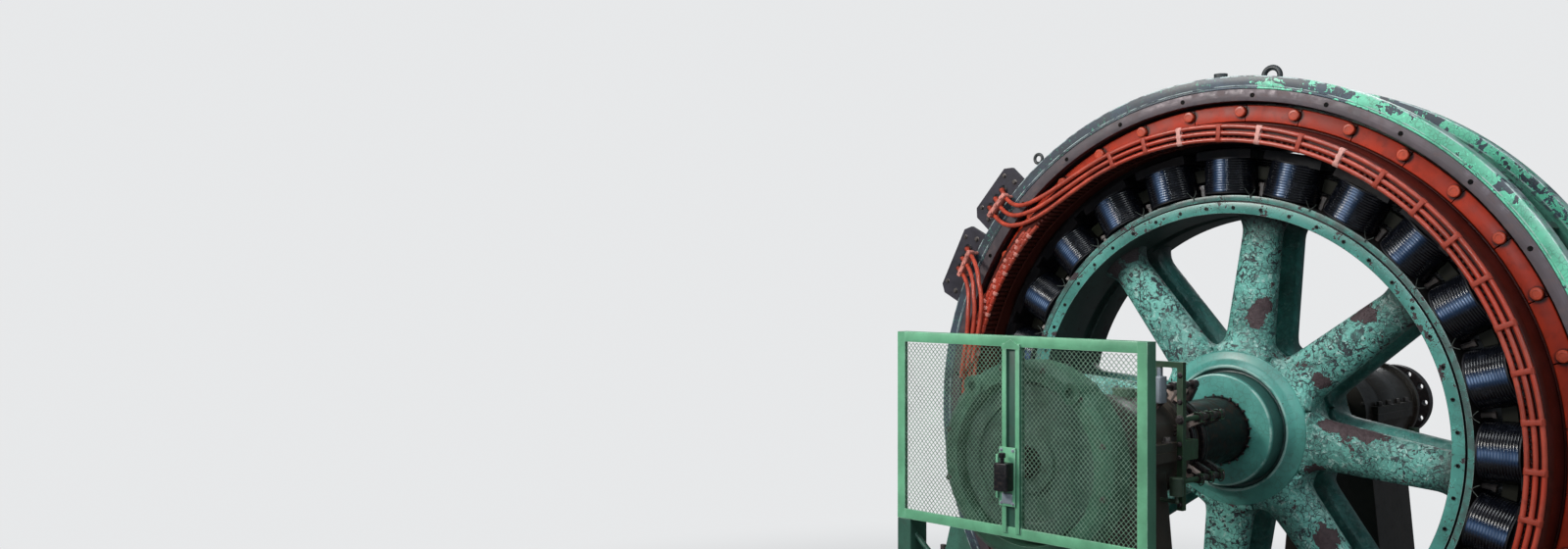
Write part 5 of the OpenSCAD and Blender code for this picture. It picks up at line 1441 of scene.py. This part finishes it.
class GEN_OT_exciter(Pieces, bpy.types.Operator):
    """Exciter end: round casing with its bosses, inner rings and cover bolts"""

    bl_idname = "generator.exciter"
    bl_label = "Exciter end"

    def execute(self, context):
        self.cad("exciter_casing", "exciter_frame", shop_paint("exciter"), 0.005, 3)
        face = span("exciter_frame")[1].y - 0.030
        rings = [turned([(a, face + 0.002), (a, face - d), (b, face - d), (b, face + 0.002)], 96, 0.004)
                 for a, b, d in ((0.336, 0.351, 0.058), (0.205, 0.222, 0.020), (0.262, 0.272, 0.014))]
        self.add("exciter_rings", rings, shop_paint("exciter"), "exciter_frame", 50, extra=True)
        heads = [spun(bolt((0.408, -1.9845, 0), (0, -1, 0), 0.010, 0.011), 15 + 30 * k) for k in range(12)]
        self.add("exciter_bolts", heads, dark_steel("bolt"), "exciter_frame", extra=True)
        return {"FINISHED"}


def angle_bar(a, b, inward, wide):
    """Angle section from a to b: one leg in the guard's face, one leg going back."""
    outline = [(0, 0), (wide, 0), (wide, 0.007), (0.007, 0.007), (0.007, 0.062), (0, 0.062)]
    points = [Vector(end) + Vector(inward) * u + Vector((0, 1, 0)) * v
              for end in (a, b) for u, v in eased(outline, 0.0025, 2)]
    return mesh_of(points, skin(2, len(points) // 2))


class GEN_OT_guard(Pieces, bpy.types.Operator):
    """Guard: angle frame, centre post, expanded mesh, latch, legs and braces"""

    bl_idname = "generator.guard"
    bl_label = "Guard"

    def execute(self, context):
        s = context.scene.generator_sizes
        face, left, right, foot, top, wide = -2.1635, -0.540, 0.700, 1.820, 2.642, 0.044
        middle = (left + right) / 2
        green, node = shop_paint("guard"), "guard_frame"

        def slab(x, y, z, ease=0.004, steps=2):
            """A block by its ranges: across from the post's middle, back from the face, and up."""
            return block((middle + x[0], face + y[0], z[0]), (middle + x[1], face + y[1], z[1]), ease, steps)

        bars = [angle_bar((x, face, foot), (x, face, top), (way, 0, 0), wide)
                for x, way in ((left, 1), (right, -1))]
        bars += [angle_bar((left + 0.0002, face + 0.0004, z), (right - 0.0002, face + 0.0004, z),
                           (0, 0, way), wide)
                 for z, way in ((top, -1), (foot, 1))]
        for x in (-1, 1):
            bars += [slab((x * 0.033 - 0.011, x * 0.033 + 0.011), (-0.008, 0.014),
                          (foot + 0.020, top - 0.030), 0.003),
                     slab((x * 0.0455 - 0.0015, x * 0.0455 + 0.0015), (0.008, 0.026),
                          (foot + 0.020, top - 0.020), 0.0)]
        self.add("guard_angle_frame", bars, green, node)
        self.add("guard_channel", slab((-0.023, 0.023), (0.004, 0.010), (foot + 0.03, top - 0.045), 0.001),
                 shop_paint("guard dark"), node, extra=True)
        tip = [(-0.046, 0.0), (0.046, 0.0), (0.046, 0.012), (0.0, 0.040), (-0.046, 0.012)]
        points = [(middle + x, face + y, top - 0.052 + z) for y in (-0.009, 0.004) for x, z in tip]
        self.add("guard_post_tip", mesh_of(points, skin(2, 5)), green, node, extra=True)
        plate = [slab((-0.052, 0.030), (-0.016, -0.008), (AXIS - 0.150, AXIS + 0.090), 0.002),
                 slab((-0.060, -0.048), (-0.030, -0.006), (AXIS - 0.120, AXIS + 0.060))]
        self.add("latch_plate", plate, green, node, extra=True)
        knob = [(0, 0.009), (0.02, 0.009), (0.022, 0.014), (0.038, 0.014), (0.041, 0.010)]
        black = [slab((-0.042, 0.022), (-0.066, -0.015), (AXIS - 0.085, AXIS + 0.030), 0.005, 3),
                 stack((middle - 0.010, face - 0.050, AXIS + 0.030), (0, 0, 1), knob)]
        self.add("latch_case", black, dark_steel("black"), node, extra=True)
        grey = [slab((-0.036, 0.016), (-0.0195, -0.015), (AXIS - 0.140, AXIS - 0.096), 0.002)]
        grey += [bolt((middle + x, face - 0.016, AXIS + z), (0, -1, 0), 0.0055, 0.006)
                 for x in (-0.040, 0.018) for z in (-0.138, 0.078)]
        self.add("latch_tag", grey, shop_paint("grey box"), node, extra=True)
        step, rise = s.mesh_width / 2, top - foot - 2 * wide
        for label, x, stop in (("left", left + wide, middle - 0.044),
                               ("right", middle + 0.044, right - wide)):
            points, up, x = [], 1, x - 0.012
            while x < stop + 0.002:
                points.append((x, face + 0.0075, foot + wide + up * s.mesh_height * 0.46))
                x, up = x + step, -up
            panel = grown(label + "_mesh", in_rows, tube(points, 0.0017, 4), shop_paint("mesh"),
                          Count=int(rise / s.mesh_height) + 1, Step=s.mesh_height, Half_Width=step)
            self.keep(panel, "guard_mesh", False)
        self.cad("guard_leg_set", "guard_legs", shop_paint("guard dark"))
        self.cad("guard_brace_set", "guard_braces", shop_paint("guard dark"), 0.0)
        low, high = span("guard_legs")
        feet = [bolt((x, y, low.z + 0.012), (0, 0, 1), 0.009, 0.018)
                for x in (low.x + 0.020, high.x - 0.020) for y in (low.y + 0.020, high.y - 0.020)]
        self.add("guard_foot_bolts", feet, dark_steel("bolt"), "guard_legs", extra=True)
        return {"FINISHED"}


class GEN_OT_foundation(Pieces, bpy.types.Operator):
    """Concrete slab, plinths and piers, stator feet with their bolts, and lifting eyes"""

    bl_idname = "generator.foundation"
    bl_label = "Foundation and feet"

    def execute(self, context):
        for name, node, finish, ease, steps in (
                ("slab", "base_slab", concrete(), 0.012, 3),
                ("plinths", "stator_plinths", concrete(), 0.012, 3),
                ("front_pier_cast", "front_pier", concrete(), 0.012, 3),
                ("rear_pier_cast", "rear_pier", concrete(), 0.012, 3),
                ("feet", "stator_feet", shop_paint("foot"), 0.005, 3),
                ("eyes", "lifting_eyes", shop_paint("eye"), 0.003, 2),
                ("holding_down", "foot_bolts", dark_steel("bolt"), 0.002, 2)):
            self.cad(name, node, finish, ease, steps)
        return {"FINISHED"}


class GEN_OT_stage(bpy.types.Operator):
    """Pale floor and backdrop, soft lights and the camera"""

    bl_idname = "generator.stage"
    bl_label = "Stage and camera"

    def execute(self, context):
        scene = context.scene
        backdrop = (0.80, 0.81, 0.82)
        floor = bpy.data.meshes.new("floor")
        floor.from_pydata([(-60, -60, 0), (60, -60, 0), (60, 60, 0), (-60, 60, 0)], [], [(0, 1, 2, 3)])
        pale = Finish("floor", Roughness=0.9, Specular_IOR_Level=0.2)
        shown = pale.node("ShaderNodeLightPath")["Is Camera Ray"]
        pale.set(Base_Color=pale.mix(shown, (0.26, 0.26, 0.26), (0.72, 0.72, 0.72)))
        far = pale.step(pale.vector("LENGTH", pale.where)["Value"], 2.8, 8.5)
        glow = pale.node("ShaderNodeEmission", {"Color": backdrop, "Strength": 1.0})
        matt = Wire(pale, pale.shader.outputs[0])
        pale.put(pale.out.inputs[0], pale.node("ShaderNodeMixShader", {0: far * shown, 1: matt, 2: glow}))
        floor.materials.append(pale.material)
        ground = linked("floor", floor)
        world = scene.world = bpy.data.worlds.new("room")
        world.use_nodes = True
        room = Board(world.node_tree)
        room.tree.nodes.clear()
        lit = room.node("ShaderNodeBackground", {"Color": (0.80, 0.91, 1.0), "Strength": 0.20})
        seen = room.node("ShaderNodeBackground", {"Color": backdrop, "Strength": 1.0})
        way = room.node("ShaderNodeLightPath")["Is Camera Ray"]
        room.made("ShaderNodeOutputWorld", {0: room.node("ShaderNodeMixShader", {0: way, 1: lit, 2: seen})})
        for name, place, aim, size, power, tone in (
                ("key", (-3.6, -7.2, 6.4), (0.2, -0.6, 2.1), (2.2, 1.6), 420, (1.0, 0.97, 0.92)),
                ("glint", (0.6, -8.2, 4.4), (0.2, -0.6, 2.1), (0.7, 0.7), 110, (0.86, 0.93, 1.0)),
                ("top", (0.6, -2.4, 7.0), (0.0, -0.6, 2.2), (3.6, 1.8), 130, (0.95, 0.98, 1.0)),
                ("side", (6.6, -3.2, 4.6), (0.2, -0.6, 2.0), (1.6, 3.0), 70, (0.90, 0.96, 1.0)),
                ("back", (-3.0, 6.5, 5.5), (0.0, 0.0, 1.8), (4.0, 3.0), 120, (1.0, 1.0, 1.0))):
            lamp = bpy.data.lights.new(name, "AREA")
            lamp.shape, lamp.size, lamp.size_y = "RECTANGLE", *size
            lamp.energy, lamp.color = power, tone
            thing = linked(name, lamp)
            thing.location = place
            thing.rotation_euler = (Vector(aim) - Vector(place)).to_track_quat("-Z", "Y").to_euler()
        camera = bpy.data.cameras.new("camera")
        camera.lens, camera.sensor_width, camera.clip_end = 29.25, 36, 200
        scene.camera = linked("camera", camera)
        scene.camera.location = (3.2268, -6.3989, 2.8938)
        scene.camera.rotation_euler = (math.radians(90), 0, math.radians(46.74))
        scene.view_settings.view_transform = "Standard"
        return {"FINISHED"}


OPERATORS = (GEN_OT_arms, GEN_OT_wheel, GEN_OT_shaft, GEN_OT_poles, GEN_OT_frame_rings, GEN_OT_clamps,
             GEN_OT_windings, GEN_OT_bus, GEN_OT_bearings, GEN_OT_brush_gear, GEN_OT_exciter, GEN_OT_guard,
             GEN_OT_foundation, GEN_OT_stage)


class GEN_PT_panel(bpy.types.Panel):
    """Operators of the generator, in the order they run"""

    bl_idname = "GEN_PT_panel"
    bl_label = "Generator rotor"
    bl_space_type = "VIEW_3D"
    bl_region_type = "UI"
    bl_category = "Generator"

    def draw(self, context):
        column = self.layout.column()
        for operator in OPERATORS:
            column.operator(operator.bl_idname)


CLASSES = (GeneratorSizes, GeneratorColours, *OPERATORS, GEN_PT_panel)


def register():
    for kind in CLASSES:
        bpy.utils.register_class(kind)
    bpy.types.Scene.generator_sizes = PointerProperty(type=GeneratorSizes)
    bpy.types.Scene.generator_colours = PointerProperty(type=GeneratorColours)


def unregister():
    del bpy.types.Scene.generator_colours
    del bpy.types.Scene.generator_sizes
    for kind in reversed(CLASSES):
        bpy.utils.unregister_class(kind)


def main():
    register()
    for operator in OPERATORS:
        group, name = operator.bl_idname.split(".")
        if getattr(getattr(bpy.ops, group), name)() != {"FINISHED"}:
            raise RuntimeError(operator.bl_label + " didn't finish")


if __name__ == "__main__":
    main()
